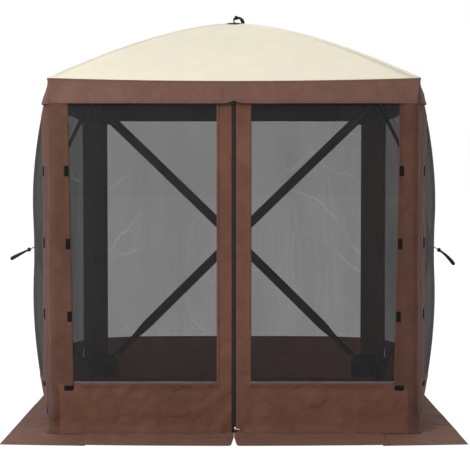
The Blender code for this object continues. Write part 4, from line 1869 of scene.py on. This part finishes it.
@dataclass
class Skirt:
    """The cloth that lies on the ground outside and inside a wall's foot."""

    form: Form
    side: Side
    hem: float = 1.13
    tip: float = 1.20
    front: float = 0.285
    front_bow: float = 0.055
    lie: float = 0.0022
    wave: float = 0.006
    under_door: float = 0.15
    under_run: float = 0.05
    flap: float = 0.29
    flap_lap: float = 0.002
    stand: float = 0.001
    lap: float = 0.1
    thick: float = 0.0014

    def front_hem(self, x: float) -> float:
        """How far in front of the middle the front hem lies."""
        return self.form.half + self.front + self.front_bow * (1.0 - (x / self.hem) ** 2)

    def height(self, spot: Vector, r: float) -> float:
        """The height of the cloth over the ground, r of the way to its hem.

        Args:
            spot: the place on the ground.
            r: the share of the way.

        Returns:
            The height.
        """
        lift = max(ripple(spot.x * 5.0, spot.y * 5.0, 6.5) + 0.15, 0.0)
        pucker = max(ripple(spot.x * 13.0, spot.y * 13.0, 3.5), 0.0) * 0.4
        under = ease((-spot.y - self.form.half) / self.under_run)
        wave = self.wave * lerp(1.0, self.under_door, under)
        return self.lie + wave * (lift + pucker) * ease(r / 0.3) * (1.0 - 0.45 * r)

    def edges(self) -> list[tuple[Vector, Vector]]:
        """Pairs of points at the wall's foot and at the hem, in order along the skirt.

        Returns:
            The pairs.
        """
        form, side = self.form, self.side
        first = -self.tip if side is Side.RIGHT else -self.hem
        last = self.tip if side is Side.LEFT else self.hem
        found = []
        for a in steps(-form.half, form.half, 40):
            along = lerp(first, last, (a / form.half + 1.0) / 2.0)
            hem = side.out * self.hem + side.along * along
            found.append((form.wall(side, a, 0.0, self.stand), hem))
        if side is Side.BACK:
            return found
        turn = 1.0 if side is Side.RIGHT else -1.0
        corner = []
        inner = form.half * form.window - self.lap
        for share in steps(0.125, 1.0, 7):
            foot = Vector((turn * lerp(form.half, inner, share), -form.half, 0.0))
            x = turn * lerp(self.hem, inner, share)
            corner.append((foot, Vector((x, -self.front_hem(x), 0.0))))
        return found + corner if side is Side.LEFT else corner[::-1] + found

    def build(self) -> list[Piece]:
        """Builds the strip.

        Returns:
            The one piece.
        """
        edges = self.edges()

        def place(r: float, index: int) -> Vector:
            """A point r of the way from the foot to the hem."""
            spot = edges[index][0].lerp(edges[index][1], r)
            return spot + UP * self.height(spot, r)

        def inside(r: float, a: float) -> Vector:
            """A point of the flap that lies inside along the wall's foot.

            Args:
                r: the share of the way in from the wall.
                a: the place along the wall.

            Returns:
                The point.
            """
            reach = min(self.flap, self.form.half - abs(a)) + self.flap_lap
            reach += self.form.swell(self.side, a, 0.0)
            spot = self.form.wall(self.side, a, 0.0, self.stand - r * reach)
            return spot + UP * self.height(spot, r * 0.5)

        rows = (0.0, 0.04, 0.12, 0.25, 0.4, 0.55, 0.7, 0.82, 0.92, 0.97, 1.0)
        along = steps(-self.form.half, self.form.half, 40)
        patches = [
            # painted light: the skirt on the ground takes the lighter copy of the brown cloth; the
            # flap inside stays plain brown
            Patch(cloth_grid(rows, range(len(edges)), place), Skin.SKIRT, UP, Hem.LAST_ROW),
            Patch(cloth_grid(steps(0.0, 1.0, 6), along, inside), Skin.BROWN, UP, Hem.LAST_ROW),
        ]
        label = self.side.label
        return [sheet(label + "_skirt", patches, Skin.BROWN, [label + "_base"], self.thick)]


@dataclass
class Header:
    """The strip of cloth over the doors, behind the valance."""

    form: Form
    inset: float = 0.0004
    wave: float = 0.0006

    def build(self) -> list[Piece]:
        """Builds the strip.

        Returns:
            The one piece.
        """
        low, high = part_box("front_header")
        y = low.y + self.inset

        def place(share: float, x: float) -> Vector:
            """A point of the strip."""
            z = lerp(low.z, min(self.form.wall_top(x), high.z), share)
            return Vector((x, y + self.wave * ripple(x * 9.0, z * 4.0, 5.5), z))

        points = cloth_grid(steps(0.0, 1.0, 6), steps(low.x, high.x, 40), place)
        patch = Patch(points, Skin.WEBBING, Side.FRONT.out, Hem.FIRST_ROW)
        nodes = ["front_header"]
        return [sheet("front_header_cloth", [patch], Skin.WEBBING, nodes)]


@dataclass
class DoorHalf:
    """One door half: a brown band, base and skirt, a mesh window and its half of the zip."""

    form: Form
    skirt: Skirt
    label: str
    turn: float
    foot: float = 0.0055
    crease: float = 0.0028
    zip_edge: float = 0.0094
    zip_foot: float = 0.003
    zip_thick: float = 0.0008
    over: float = 0.004
    over_stand: Pair = (0.003, -0.0012)
    mesh_lap: float = 0.004
    mesh_tuck: float = 0.003
    mesh_inset: float = 0.0012
    hem_width: float = 0.011
    piping_lift: Pair = (0.0006, 0.0022)
    skirt_round: float = 0.018
    zip_gap: Pair = (0.0006, 0.0135)
    gap_start: float = 0.4
    flex: Pair = (0.806, 0.746)
    over_edge: float = 0.888
    coil: Pairs = (
        (0.0, 0.0010),
        (0.0009, 0.0026),
        (0.0022, 0.0034),
        (0.0036, 0.0028),
        (0.0043, 0.0014),
    )
    tape: Pairs = ((0.004, 0.0006), (0.007, -0.0012), (0.010, -0.0020), (0.0135, -0.0022))

    def __post_init__(self) -> None:
        """Takes the window's and the band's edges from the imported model."""
        low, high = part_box(self.label + "_door_screen")
        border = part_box(self.label + "_door_border")
        self.window = sorted((abs(low.x), abs(high.x)))
        self.middle = min(abs(border[0].x), abs(border[1].x), self.zip_edge)
        self.sill, self.top = low.z, high.z

    def spot(self, x: float, z: float, lift: float = 0.0) -> Vector:
        """A point of the door, x out from the zip.

        Args:
            x: the distance from the zip.
            z: the height.
            lift: how far outside the cloth it is.

        Returns:
            The point.
        """
        seed = 3.0 + self.turn
        calm = ease((self.window[1] - x) / 0.08) * ease((x - self.middle) / 0.05) * ease(z / 0.1)
        fold = ripple(x * 8.0 + z, z * 1.7, seed) + 0.4 * ripple(x * 15.0, z * 5.0, seed + 4.0)
        low = 1.0 - ease((z - 0.06) / 0.16)
        fold += 2.0 * ripple(x * 5.0, z * 21.0 + x * 3.0, seed + 8.0) * low
        return Vector((self.turn * x, -self.form.half - lift - self.crease * fold * calm, z))

    def turned(self, x: float, z: float) -> float:
        """How far the foot stands out, less so beside the zip."""
        return self.form.turn_out(z) * ease((x - 0.02) / 0.12)

    def panel(self) -> list[Patch]:
        """The band beside the zip, the base under the window and the skirt.

        Returns:
            The patches.
        """
        near, far = self.window
        out = Side.FRONT.out
        hem = self.hem_width
        band_columns = [*steps(self.middle, near - hem - 0.001, 8), near - hem, near]
        wide_columns = steps(near, far, 32)
        over_columns = [*wide_columns, *steps(far + 0.009, self.over_edge, 7)]
        free_columns = [x for x in wide_columns[1:] if x < self.flex[1] - 0.004]
        free_columns += [self.flex[1] - 0.001, self.flex[1]]

        def band(z: float, x: float) -> Vector:
            """A point of the band, raised at the window's hem."""
            return self.spot(x, z, HEM_RISE if x > near - hem - 0.0005 else 0.0)

        def base(z: float, x: float) -> Vector:
            """A point of the base, raised at the sill's hem.

            Args:
                z: the height.
                x: the distance from the zip.

            Returns:
                The point.
            """
            raised = HEM_RISE if min(z - self.sill, x - near) > -hem - 0.0005 else 0.0
            drop = max(ease((z - self.sill) / 0.05 + 1.0), ease((x - self.over_edge) / 0.03 + 1.0))
            lift = lerp(raised, lerp(*self.over_stand, drop), ease((x - far + 0.05) / 0.025))
            return self.spot(x, z, lift + self.turned(x, z))

        def piping(rise: float, x: float) -> Vector:
            """A point of the pale tape along the sill."""
            lift = self.piping_lift[0.0 < rise < 0.007]
            return self.spot(x, self.sill + rise, lift)

        def laid(r: float, x: float) -> Vector:
            """A point of the skirt, cut back and rounded beside the zip.

            Args:
                r: the share of the way to the hem.
                x: the distance from the zip.

            Returns:
                The point.
            """
            hem_y = self.skirt.front_hem(x)
            start = lerp(*self.zip_gap, (r - self.gap_start) / (1.0 - self.gap_start))
            start = max(start, lerp(self.middle, self.zip_gap[0], ease(r / 0.03)))
            slid = start + (x - self.middle) * (far - start) / (far - self.middle)
            past = max(self.skirt_round - (slid - start), 0.0)
            cut = self.skirt_round - math.sqrt(max(self.skirt_round**2 - past**2, 0.0))
            y = lerp(self.form.half + self.turned(x, self.foot), hem_y - cut, r)
            flat = Vector((self.turn * slid, -y, 0.0))
            rest = self.skirt.height(flat, r) + self.over
            return flat + UP * lerp(self.foot, rest, ease(r / 0.06))

        band_rows = steps(self.sill, self.top, 44)
        base_rows = [self.foot, 0.009, 0.014, 0.021, 0.031, 0.043, 0.06, 0.09, 0.13, 0.17, 0.21]
        base_rows += [self.sill - hem - 0.001, self.sill - hem, self.sill]
        skirt_rows = (0.0, 0.03, 0.07, 0.15, 0.28, 0.42, 0.56, 0.7, 0.82, 0.92, 0.97, 1.0)
        flap = cloth_grid(skirt_rows, [*band_columns, *free_columns], laid)
        tape = cloth_grid((-0.002, 0.001, 0.006, 0.0075), wide_columns, piping)
        return [
            Patch(cloth_grid(band_rows, band_columns, band), Skin.BROWN, out, Hem.LAST_COLUMN),
            Patch(cloth_grid(base_rows, band_columns, base), Skin.BROWN, out),
            Patch(cloth_grid(base_rows, over_columns, base), Skin.BROWN, out),
            # painted light: the skirt takes the lighter copy of the brown cloth, lit from above
            Patch(flap, Skin.SKIRT, UP, Hem.LAST_ROW),
            Patch(tape, Skin.PIPING, out),
        ]

    def screen(self) -> Patch:
        """The mesh window.

        Returns:
            The patch.
        """
        near, far = self.window

        def place(z: float, share: float) -> Vector:
            """A point of the mesh, whose outer edge runs behind the column's."""
            edge = max(self.form.half - self.form.front_leg(z) + self.mesh_tuck, far)
            return self.spot(lerp(near - self.mesh_lap, edge, share), z, -self.mesh_inset)

        rows = steps(self.sill - self.mesh_lap, self.top, 36)
        return Patch(cloth_grid(rows, steps(0.0, 1.0, 20), place), Skin.MESH, Side.FRONT.out)

    def zip_half(self) -> list[Patch]:
        """The coil and the tape of this side of the zip.

        Returns:
            The patches.
        """
        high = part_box(self.label + "_zip_tape")[1].z
        rows = steps(self.zip_foot, high, 40)
        found = []
        for profile, skin in ((self.coil, Skin.COIL), (self.tape, Skin.WEBBING)):
            def place(z: float, section: int) -> Vector:
                """A point of the profile."""
                x, lift = profile[section]
                return Vector((self.turn * x, -self.form.half - lift, z))

            points = cloth_grid(rows, range(len(profile)), place)
            found.append(Patch(points, skin, Side.FRONT.out))
        return found

    def bend(self, piece: Piece) -> None:
        """Bakes a piece's transform into its mesh; the ends of the strip by the column go unused.
        """
        start, end = ((self.turn * x, -self.form.half, self.form.hub) for x in self.flex)
        self.label + "_door"
        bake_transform(piece)
        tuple(start)
        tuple(end)

    def build(self) -> list[Piece]:
        """Builds the panel, the window and the zip half.

        Returns:
            The pieces.
        """
        door, bend = self.label + "_door", self.bend
        panel, border = self.panel(), [door + "_border"]
        window, screen = [self.screen()], [door + "_screen"]
        made = [
            sheet(door + "_panel", panel, Skin.BROWN, border, bend=bend),
            sheet(door + "_mesh", window, Skin.MESH, screen, 0.0, bend),
        ]
        zip_piece = sew(self.label + "_zip_half", self.zip_half(), self.zip_thick)
        enlist(zip_piece, door, Skin.COIL, [self.label + "_zip_tape"])
        return [*made, zip_piece]


@dataclass
class ZipFittings:
    """The zip's slider and its pull."""

    plate_thick: float = 0.0021
    edge: float = 0.0006
    shield: Pairs = (
        *((-0.72, -0.85), (-0.5, -1.0), (0.5, -1.0), (0.72, -0.85), (1.0, 0.35)),
        *((0.82, 0.8), (0.4, 1.0), (-0.4, 1.0), (-0.82, 0.8), (-1.0, 0.35)),
    )
    loop: Pair = (0.0014, 0.0009)
    pull_wire: float = 0.0011
    pull_half: float = 0.0033
    pull_clear: float = 0.0008
    pull_edge: float = 0.0004
    droop: float = 10.0
    lower: float = 0.018

    def cast(self, name: str, form: bmesh.types.BMesh, node: str) -> Piece:
        """Smooths a casting's mesh and makes it the piece of its body.

        Args:
            name: the piece's name.
            form: the mesh.
            node: the body, which is also the node that it replaces.

        Returns:
            The piece.
        """
        for face in form.faces:
            face.smooth = True
        bmesh.ops.recalc_face_normals(form, faces=form.faces)
        return enlist(as_object(name, form, [Skin.METAL]), node, Skin.METAL, [node])

    def slider(self) -> Piece:
        """Two shield plates joined by a wedge, with a loop for the pull.

        Returns:
            The piece.
        """
        low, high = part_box("zip_slider")
        middle = (low + high) / 2 - UP * self.lower
        wide, tall = (high.x - low.x) / 2, (high.z - low.z) / 2
        place = Matrix.Translation(middle) @ Matrix.Rotation(math.pi / 2, 4, "X")
        outline = [(wide * x, tall * y) for x, y in self.shield]
        wedge = [(-wide * 0.35, tall * 0.9), (0.0, -tall * 0.1), (wide * 0.35, tall * 0.9)]
        deep = (high.y - low.y) / 2
        form = bmesh.new()
        plate(form, outline, (-deep, -deep + self.plate_thick), place, self.edge)
        plate(form, wedge, (-deep + self.plate_thick * 0.6, deep * 0.2), place, self.edge / 2)
        plate(form, outline, (0.0, self.plate_thick), place, self.edge)
        arc = []
        for step in range(11):
            angle = math.pi * step / 10
            rise = self.plate_thick * 0.7 + (deep - self.plate_thick * 1.2) * math.sin(angle)
            arc.append(place @ Vector((0.0, tall * 0.62 * math.cos(angle), rise)))
        sweep(form, arc, [self.loop] * len(arc), Vector((1.0, 0.0, 0.0)), 10)
        return self.cast("zip_slider_casting", form, "zip_slider")

    def pull(self) -> Piece:
        """A flat tongue with an eye at the slider's end.

        Returns:
            The piece.
        """
        low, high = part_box("zip_pull")
        middle = (low + high) / 2 - UP * self.lower
        place = Matrix.Translation(middle) @ Matrix.Rotation(math.radians(self.droop), 4, "Y")
        place = place @ Matrix.Rotation(math.pi / 2, 4, "X")
        long = (high.x - low.x) / 2 - self.pull_clear
        wide = self.pull_half
        form = bmesh.new()
        outline = []
        for step in range(9):
            angle = math.pi * (step / 8 - 0.5)
            outline.append((long - wide + wide * math.cos(angle), wide * math.sin(angle)))
        outline += [(-long * 0.2, wide * 0.72), (-long * 0.2, -wide * 0.72)]
        plate(form, outline, (-self.pull_wire, self.pull_wire), place, self.pull_edge)
        ring = []
        for step in range(20):
            angle = TURN * step / 20
            x = -long * 0.58 + long * 0.42 * math.cos(angle)
            ring.append(place @ Vector((x, wide * 0.78 * math.sin(angle), 0.0)))
        size = [(self.pull_wire, self.pull_wire)] * len(ring)
        sweep(form, ring, size, Vector((0.0, 1.0, 0.0)), 10, closed=True)
        return self.cast("zip_pull_tongue", form, "zip_pull")

    def build(self) -> list[Piece]:
        """Builds the slider and the pull."""
        return [self.slider(), self.pull()]


@dataclass(frozen=True)
class Lay:
    """How a pull strap lies: its length, its angles in degrees and its neck's swelling."""

    length: float
    droop: float
    curl: float
    stand: float = 0.0
    wedge: float = 0.0


@dataclass
class HubFrame:
    """A hub's cap, its pull strap and its four poles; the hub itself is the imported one."""

    form: Form
    wall: str
    ends: tuple[str, str, str, str]
    lay: Lay
    cloth: BowedWall | Roof
    pin_circle: float = 0.038
    pin_depth: float = 0.026
    rod: float = 0.0055
    rod_inset: float = 0.0116
    wall_short: float = 0.045
    roof_short: float = 0.085
    ferrule: float = 0.011
    ferrule_waist: float = 0.0098
    ferrule_inset: float = 0.0264
    ferrule_length: float = 0.165
    eye_half: float = 0.0058
    eye: Pair = (0.0074, 0.0085)
    hub_edge: float = 0.0012
    cap_edge: float = 0.0005
    ear_shift: float = 0.00445
    ear_half: float = 0.00175
    cap: float = 0.046
    proud: float = 0.0015
    hinge: float = 0.008
    neck: float = 0.0028
    neck_length: float = 0.022
    knot_length: float = 0.024
    web: tuple[float, float, float] = (0.0058, 0.0105, 0.0022)
    knot: Pair = (0.0076, 0.0052)

    def __post_init__(self) -> None:
        """Works out the hub's place, the pole's reach and its bow."""
        form = self.form
        if isinstance(self.cloth, Roof):
            self.place = Matrix.Translation(UP * (form.eave + form.rise))
            self.arm = Vector((form.half, form.half, 0.0))
            self.bow, self.power, self.short = form.rise, form.roof_power, self.roof_short
            self.turn = Matrix.Rotation(math.pi / 2, 4, "Z")
        else:
            side = self.cloth.side
            axes = Matrix((side.along, UP, side.out)).transposed().to_4x4()
            middle = side.out * (form.half + form.bow) + UP * form.hub
            self.place = Matrix.Translation(middle) @ axes
            self.arm = Vector((form.half, form.hub, 0.0))
            self.bow, self.power, self.short = form.bow, form.wall_power, self.wall_short
            self.turn = Matrix.Identity(4)

    def pole(self, end: str, across: float, up: float) -> Piece:
        """One pole: an eye on the hub's pin, a rod and a ferrule at the corner.

        Args:
            end: the pole's name after its wall's.
            across: its sign along the wall.
            up: its sign up the wall.

        Returns:
            The piece.
        """
        reach = self.arm.length
        way = Vector((across * self.arm.x, up * self.arm.y, 0.0)).normalized()
        square = UP.cross(way)
        tip = reach - self.short
        collar = tip - self.ferrule_length

        def at(rho: float, inset: float) -> Vector:
            """A point along the pole, under the cloth."""
            drop = self.bow * (rho / reach) ** self.power
            return self.place @ (way * rho - UP * (drop + inset))

        path = [self.place @ (way * self.pin_circle - UP * self.pin_depth)]
        sizes = [self.rod]
        for rho in steps(0.1, collar - 0.03, 30):
            path.append(at(rho, self.rod_inset))
            sizes.append(self.rod)
        for rho, share, radius in (
            (collar - 0.018, 0.35, self.rod),
            (collar - 0.008, 0.75, self.rod),
            (collar, 0.95, self.rod + 0.0008),
            (collar + 0.003, 1.0, self.ferrule - 0.001),
            (collar + 0.006, 1.0, self.ferrule),
            (collar + 0.012, 1.0, self.ferrule),
            (collar + 0.014, 1.0, self.ferrule_waist),
            (collar + 0.05, 1.0, self.ferrule_waist),
            (collar + 0.1, 1.0, self.ferrule_waist),
            (tip - 0.012, 1.0, self.ferrule_waist),
            (tip - 0.010, 1.0, self.ferrule),
            (tip - 0.003, 1.0, self.ferrule),
            (tip, 1.0, self.ferrule - 0.003),
        ):
            path.append(at(rho, lerp(self.rod_inset, self.ferrule_inset, share)))
            sizes.append(radius)
        form = bmesh.new()
        turned = self.place.to_3x3() @ square
        sweep(form, path, [(size, size) for size in sizes], turned, 12)
        for face in form.faces:
            if all((self.place.inverted() @ v.co).length > collar for v in face.verts):
                face.material_index = 1
        eye = [turned * (self.eye_half * shift) + path[0] for shift in (-1.0, -0.85, 0.85, 1.0)]
        rounds = [(self.eye[i], self.eye[i]) for i in (0, 1, 1, 0)]
        sweep(form, eye, rounds, self.place.to_3x3() @ way, 16, skin=1)
        piece = as_object(f"{self.wall}_rod_{end}", form, [Skin.ROD, Skin.PLASTIC])
        if isinstance(self.cloth, Roof):
            self.cloth.bend(piece, Side.BACK if up > 0.0 else Side.FRONT)
        else:
            self.cloth.bend(piece, Gore.TOP if up > 0.0 else Gore.FOOT)
        return enlist(piece, None, Skin.ROD, [f"{self.wall}_pole_{end}"])

    def cap_piece(self) -> Piece:
        """The moulded cap outside the cloth: a dished disc with two ears.

        Returns:
            The piece.
        """
        place = self.place @ self.turn
        rim, top = self.cap, self.proud
        profile = [
            *((0.0, -0.0122), (rim - 0.002, -0.0122), (rim - 0.0006, -0.0112)),
            *((rim - 0.0006, 0.0), (rim, 0.0006), (rim, top + 0.0006)),
            *((rim - 0.0012, top + 0.0018), (rim - 0.006, top + 0.0018), (rim - 0.0085, top)),
            *((0.024, top - 0.0004), (0.021, top + 0.0012), (0.0, top + 0.0022)),
        ]
        form = bmesh.new()
        lathe(form, profile, place)
        ear = [(-0.006, -0.003), (0.006, -0.003), (0.006, 0.005), (0.0045, 0.0095), (0.0, 0.0112)]
        ear += [(-0.0045, 0.0095), (-0.006, 0.005)]
        across = Matrix.Rotation(math.pi / 2, 4, "Z") @ Matrix.Rotation(math.pi / 2, 4, "X")
        for shift in (-1.0, 1.0):
            spot = Matrix.Translation((shift * self.ear_shift, 0.0, top))
            depth = (-self.ear_half, self.ear_half)
            plate(form, ear, depth, place @ spot @ across, self.cap_edge)
        rivet = ((-0.0072, 0.0012), (-0.0066, 0.0019), (0.0066, 0.0019), (0.0072, 0.0012))
        pin = [place @ Vector((x, 0.0, top + self.hinge)) for x, radius in rivet]
        sizes = [(radius, radius) for x, radius in rivet]
        sweep(form, pin, sizes, place.to_3x3() @ UP, 12)
        bmesh.ops.recalc_face_normals(form, faces=form.faces)
        piece = as_object(self.wall + "_cap_moulding", form, [Skin.PLASTIC])
        soften(piece, self.cap_edge)
        settle(piece)
        return enlist(piece, self.wall + "_hub", Skin.PLASTIC, [self.wall + "_hub_cap"])

    def strap_point(self, run: float) -> Vector:
        """The middle of the strap at a distance from its hinge, in the hinge's own frame.

        Args:
            run: the distance.

        Returns:
            The point.
        """
        total = self.neck_length + self.knot_length + self.lay.length
        point, count = Vector((0.0, 0.0, 0.0)), 40
        for step in range(count):
            middle = run * (step + 0.5) / count
            angle = self.lay.droop + self.lay.curl * middle / total
            if middle < self.neck_length:
                angle -= self.lay.stand
            angle = math.radians(angle)
            point += Vector((0.0, -math.sin(angle), math.cos(angle))) * (run / count)
        return point

    def strap(self) -> Piece:
        """The pull strap: a cord neck round the pin, a knot and a doubled webbing tail.

        Returns:
            The piece.
        """
        place = self.place @ self.turn @ Matrix.Translation((0.0, 0.0, self.proud + self.hinge))
        wide = place.to_3x3() @ Vector((1.0, 0.0, 0.0))
        total = self.neck_length + self.knot_length + self.lay.length
        form = bmesh.new()

        def at(run: float) -> Vector:
            """A point of the strap's middle."""
            return place @ self.strap_point(run)

        neck = [at(run) for run in steps(0.0015, self.neck_length + 0.006, 10)]
        sizes = [(self.neck + self.lay.wedge * share,) * 2 for share in steps(0.0, 1.0, 10)]
        sweep(form, neck, sizes, wide, 10)
        knot_start, knot_end = self.neck_length, self.neck_length + self.knot_length
        axis = (at(knot_end) - at(knot_start)).normalized()
        square = axis.cross(wide)
        radius, cord = self.knot
        for turns, shift in ((1.9, 0.0), (1.2, 0.5)):
            wrap = []
            for share in steps(0.0, 1.0, 28):
                angle = TURN * (share * turns + shift)
                middle = at(lerp(knot_start + 0.005, knot_end - 0.005, share))
                wrap.append(middle + (wide * math.cos(angle) + square * math.sin(angle)) * radius)
            swell = [0.55 + 0.45 * math.sin(math.pi * share) for share in steps(0.0, 1.0, 28)]
            sweep(form, wrap, [(cord * share,) * 2 for share in swell], axis, 10)
        thin, broad, thick = self.web
        tail_runs = steps(knot_end - 0.006, total, 26)
        for layer in (-1.0, 1.0):
            tail, sizes = [], []
            for run in tail_runs:
                share = (run - tail_runs[0]) / (tail_runs[-1] - tail_runs[0])
                tail.append(at(run) + wide * (layer * thick * 0.9))
                rounded = math.sqrt(max(1.0 - max((share - 0.93) / 0.07, 0.0) ** 2, 0.08))
                sizes.append((thick, lerp(thin, broad, ease(share / 0.8)) * rounded))
            sweep(form, tail, sizes, wide, 14)
        bmesh.ops.recalc_face_normals(form, faces=form.faces)
        piece = as_object(self.wall + "_strap_webbing", form, [Skin.WEBBING])
        return enlist(piece, self.wall + "_pull_strap", Skin.WEBBING, [self.wall + "_pull_strap"])

    def dress_hub(self, node: Piece) -> None:
        """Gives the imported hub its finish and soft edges.

        Args:
            node: the hub.
        """
        node.data.materials.clear()
        node.data.materials.append(Skin.PLASTIC.material)
        soften(node, self.hub_edge)

    def build(self, nodes: dict[str, Piece]) -> list[Piece]:
        """Builds the cap, the strap and the poles, and dresses the hub.

        Args:
            nodes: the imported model's nodes.

        Returns:
            The pieces.
        """
        self.dress_hub(nodes[self.wall + "_hub"])
        signs = ((1.0, 1.0), (-1.0, 1.0), (-1.0, -1.0), (1.0, -1.0))
        poles = [self.pole(end, *sign) for end, sign in zip(self.ends, signs)]
        return [self.cap_piece(), self.strap(), *poles]


# Studio


class Lamp(Enum):
    """The soft square lamps: each one's place, side and power in watts."""

    KEY = ((-4.4, -5.4, 3.2), 3.5, 330.0)
    FILL = ((3.6, -5.6, 1.5), 4.0, 40.0)
    BACK = ((-0.5, 2.0, 6.0), 4.0, 72.0)


@dataclass
class Studio:
    """The floor, the light and the camera."""

    floor_size: float = 240.0
    floor_drop: float = 0.0005
    floor_colour: Colour = (0.9, 0.9, 0.9)
    floor_speck: Colour = (0.92, 0.92, 0.92)
    floor_glow: float = 1.12
    glow_share: float = 0.9
    ambient: float = 0.54
    target: tuple[float, float, float] = (0.0, 0.0, 0.9)
    camera_place: tuple[float, float, float] = (0.005, -7.445, 1.26)
    camera_pitch: float = 87.72
    camera_reach: float = 200.0
    lens: float = 100.0
    sensor: float = 36.0

    def seen(self, shade: Shade) -> Value:
        """1 for a ray that the camera, a reflection or a clear surface sends, and 0 for light.

        Args:
            shade: the tree to add it to.

        Returns:
            The value.
        """
        path = shade.node("ShaderNodeLightPath", output="Is Camera Ray")
        outputs = path.socket.node.outputs
        glossy = Value(shade, outputs["Is Glossy Ray"])
        through = Value(shade, outputs["Is Transmission Ray"])
        return path.larger(glossy).larger(through)

    def floor(self) -> None:
        """A pale floor that reads as white and keeps the shadow."""
        form = bmesh.new()
        bmesh.ops.create_grid(form, x_segments=4, y_segments=4, size=self.floor_size / 2)
        mesh = bpy.data.meshes.new("floor")
        form.to_mesh(mesh)
        form.free()
        piece = bpy.data.objects.new("floor", mesh)
        piece.location.z = -self.floor_drop
        bpy.context.scene.collection.objects.link(piece)
        material, shade = new_shade("floor")
        speck = shade.noise(shade.place(), 0.8, 3.0)
        colour = shade.mix(speck, self.floor_colour, self.floor_speck)
        paper = shade.node("ShaderNodeBsdfDiffuse", {}, {"Color": colour})
        white = {"Color": (1.0, 1.0, 1.0), "Strength": self.floor_glow}
        glow = shade.node("ShaderNodeEmission", {}, white)
        factor = self.seen(shade) * self.glow_share
        shade.show(shade.node("ShaderNodeMixShader", {}, {0: factor, 1: paper, 2: glow}))
        mesh.materials.append(material)

    def world(self) -> None:
        """White to the camera, and soft even light on the object."""
        world = bpy.data.worlds.new("studio")
        bpy.context.scene.world = world
        world.use_nodes = True
        shade = Shade(world.node_tree, "ShaderNodeOutputWorld")
        white = {"Color": (1.0, 1.0, 1.0)}
        soft = shade.node("ShaderNodeBackground", {}, {**white, "Strength": self.ambient})
        plain = shade.node("ShaderNodeBackground", {}, {**white, "Strength": 1.0})
        shade.show(shade.node("ShaderNodeMixShader", {}, {0: self.seen(shade), 1: soft, 2: plain}))

    def hang(self, lamp: Lamp) -> None:
        """Hangs a lamp that points at the middle of the object.

        Args:
            lamp: the lamp.
        """
        place, size, power = lamp.value
        name = lamp.name.lower()
        light = bpy.data.lights.new(name, "AREA")
        light.size = size
        light.energy = power
        piece = bpy.data.objects.new(name, light)
        piece.location = place
        way = Vector(self.target) - Vector(place)
        piece.rotation_euler = way.to_track_quat("-Z", "Y").to_euler()
        bpy.context.scene.collection.objects.link(piece)

    def camera(self) -> None:
        """The camera at the photograph's angle."""
        data = bpy.data.cameras.new("camera")
        data.lens = self.lens
        data.sensor_width = self.sensor
        data.clip_end = self.camera_reach
        camera = bpy.data.objects.new("camera", data)
        camera.location = self.camera_place
        camera.rotation_euler = (math.radians(self.camera_pitch), 0.0, 0.0)
        bpy.context.scene.collection.objects.link(camera)
        bpy.context.scene.camera = camera

    def build(self) -> None:
        """Builds the studio."""
        self.camera()
        self.floor()
        self.world()
        for lamp in Lamp:
            self.hang(lamp)
        bpy.context.scene.view_settings.view_transform = "Standard"


def clear_scene() -> None:
    """Removes what a new file holds."""
    for thing in list(bpy.data.objects):
        bpy.data.objects.remove(thing)


def report(pieces: Sequence[Piece]) -> None:
    """Logs each piece with the number of its faces."""
    for piece in pieces:
        LOG.info("%s: %d faces", piece.name, len(piece.data.polygons))


def main() -> None:
    """Builds the studio and the sub-assemblies, in order."""
    logging.basicConfig(level=logging.INFO, format="%(message)s")
    clear_scene()
    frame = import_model()
    Studio().build()
    form = Form()
    walls = {side.label: BowedWall(form, side) for side in (Side.LEFT, Side.RIGHT, Side.BACK)}
    roof = Roof(form)
    for wall in walls.values():
        report(wall.build())
    report(roof.build())
    report(Valance(form).build())
    for before, after, label in (
        (Side.FRONT, Side.RIGHT, "front_right"),
        (Side.RIGHT, Side.BACK, "back_right"),
        (Side.BACK, Side.LEFT, "back_left"),
        (Side.LEFT, Side.FRONT, "front_left"),
    ):
        report(Corner(form, before, after, label).build())
    skirts = {side: Skirt(form, side) for side in (Side.LEFT, Side.RIGHT, Side.BACK)}
    for skirt in skirts.values():
        report(skirt.build())
    report(Header(form).build())
    for label, turn in (("left", -1.0), ("right", 1.0)):
        report(DoorHalf(form, skirts[Side.LEFT], label, turn).build())
    report(ZipFittings().build())
    ends = {
        "left": ("upper_front", "upper_back", "lower_back", "lower_front"),
        "right": ("upper_back", "upper_front", "lower_front", "lower_back"),
        "back": ("upper_left", "upper_right", "lower_right", "lower_left"),
        "roof": ("back_right", "back_left", "front_left", "front_right"),
    }
    lays = {
        "left": Lay(0.108, 24.0, 6.0),
        "right": Lay(0.112, 26.0, 30.0),
        "back": Lay(0.10, 26.0, 12.0),
        "roof": Lay(0.045, 14.0, 172.0, 30.0, 0.0045),
    }
    for wall, cloth in (*walls.items(), ("roof", roof)):
        report(HubFrame(form, wall, ends[wall], lays[wall], cloth).build(frame["nodes"]))


if __name__ == "__main__":
    main()
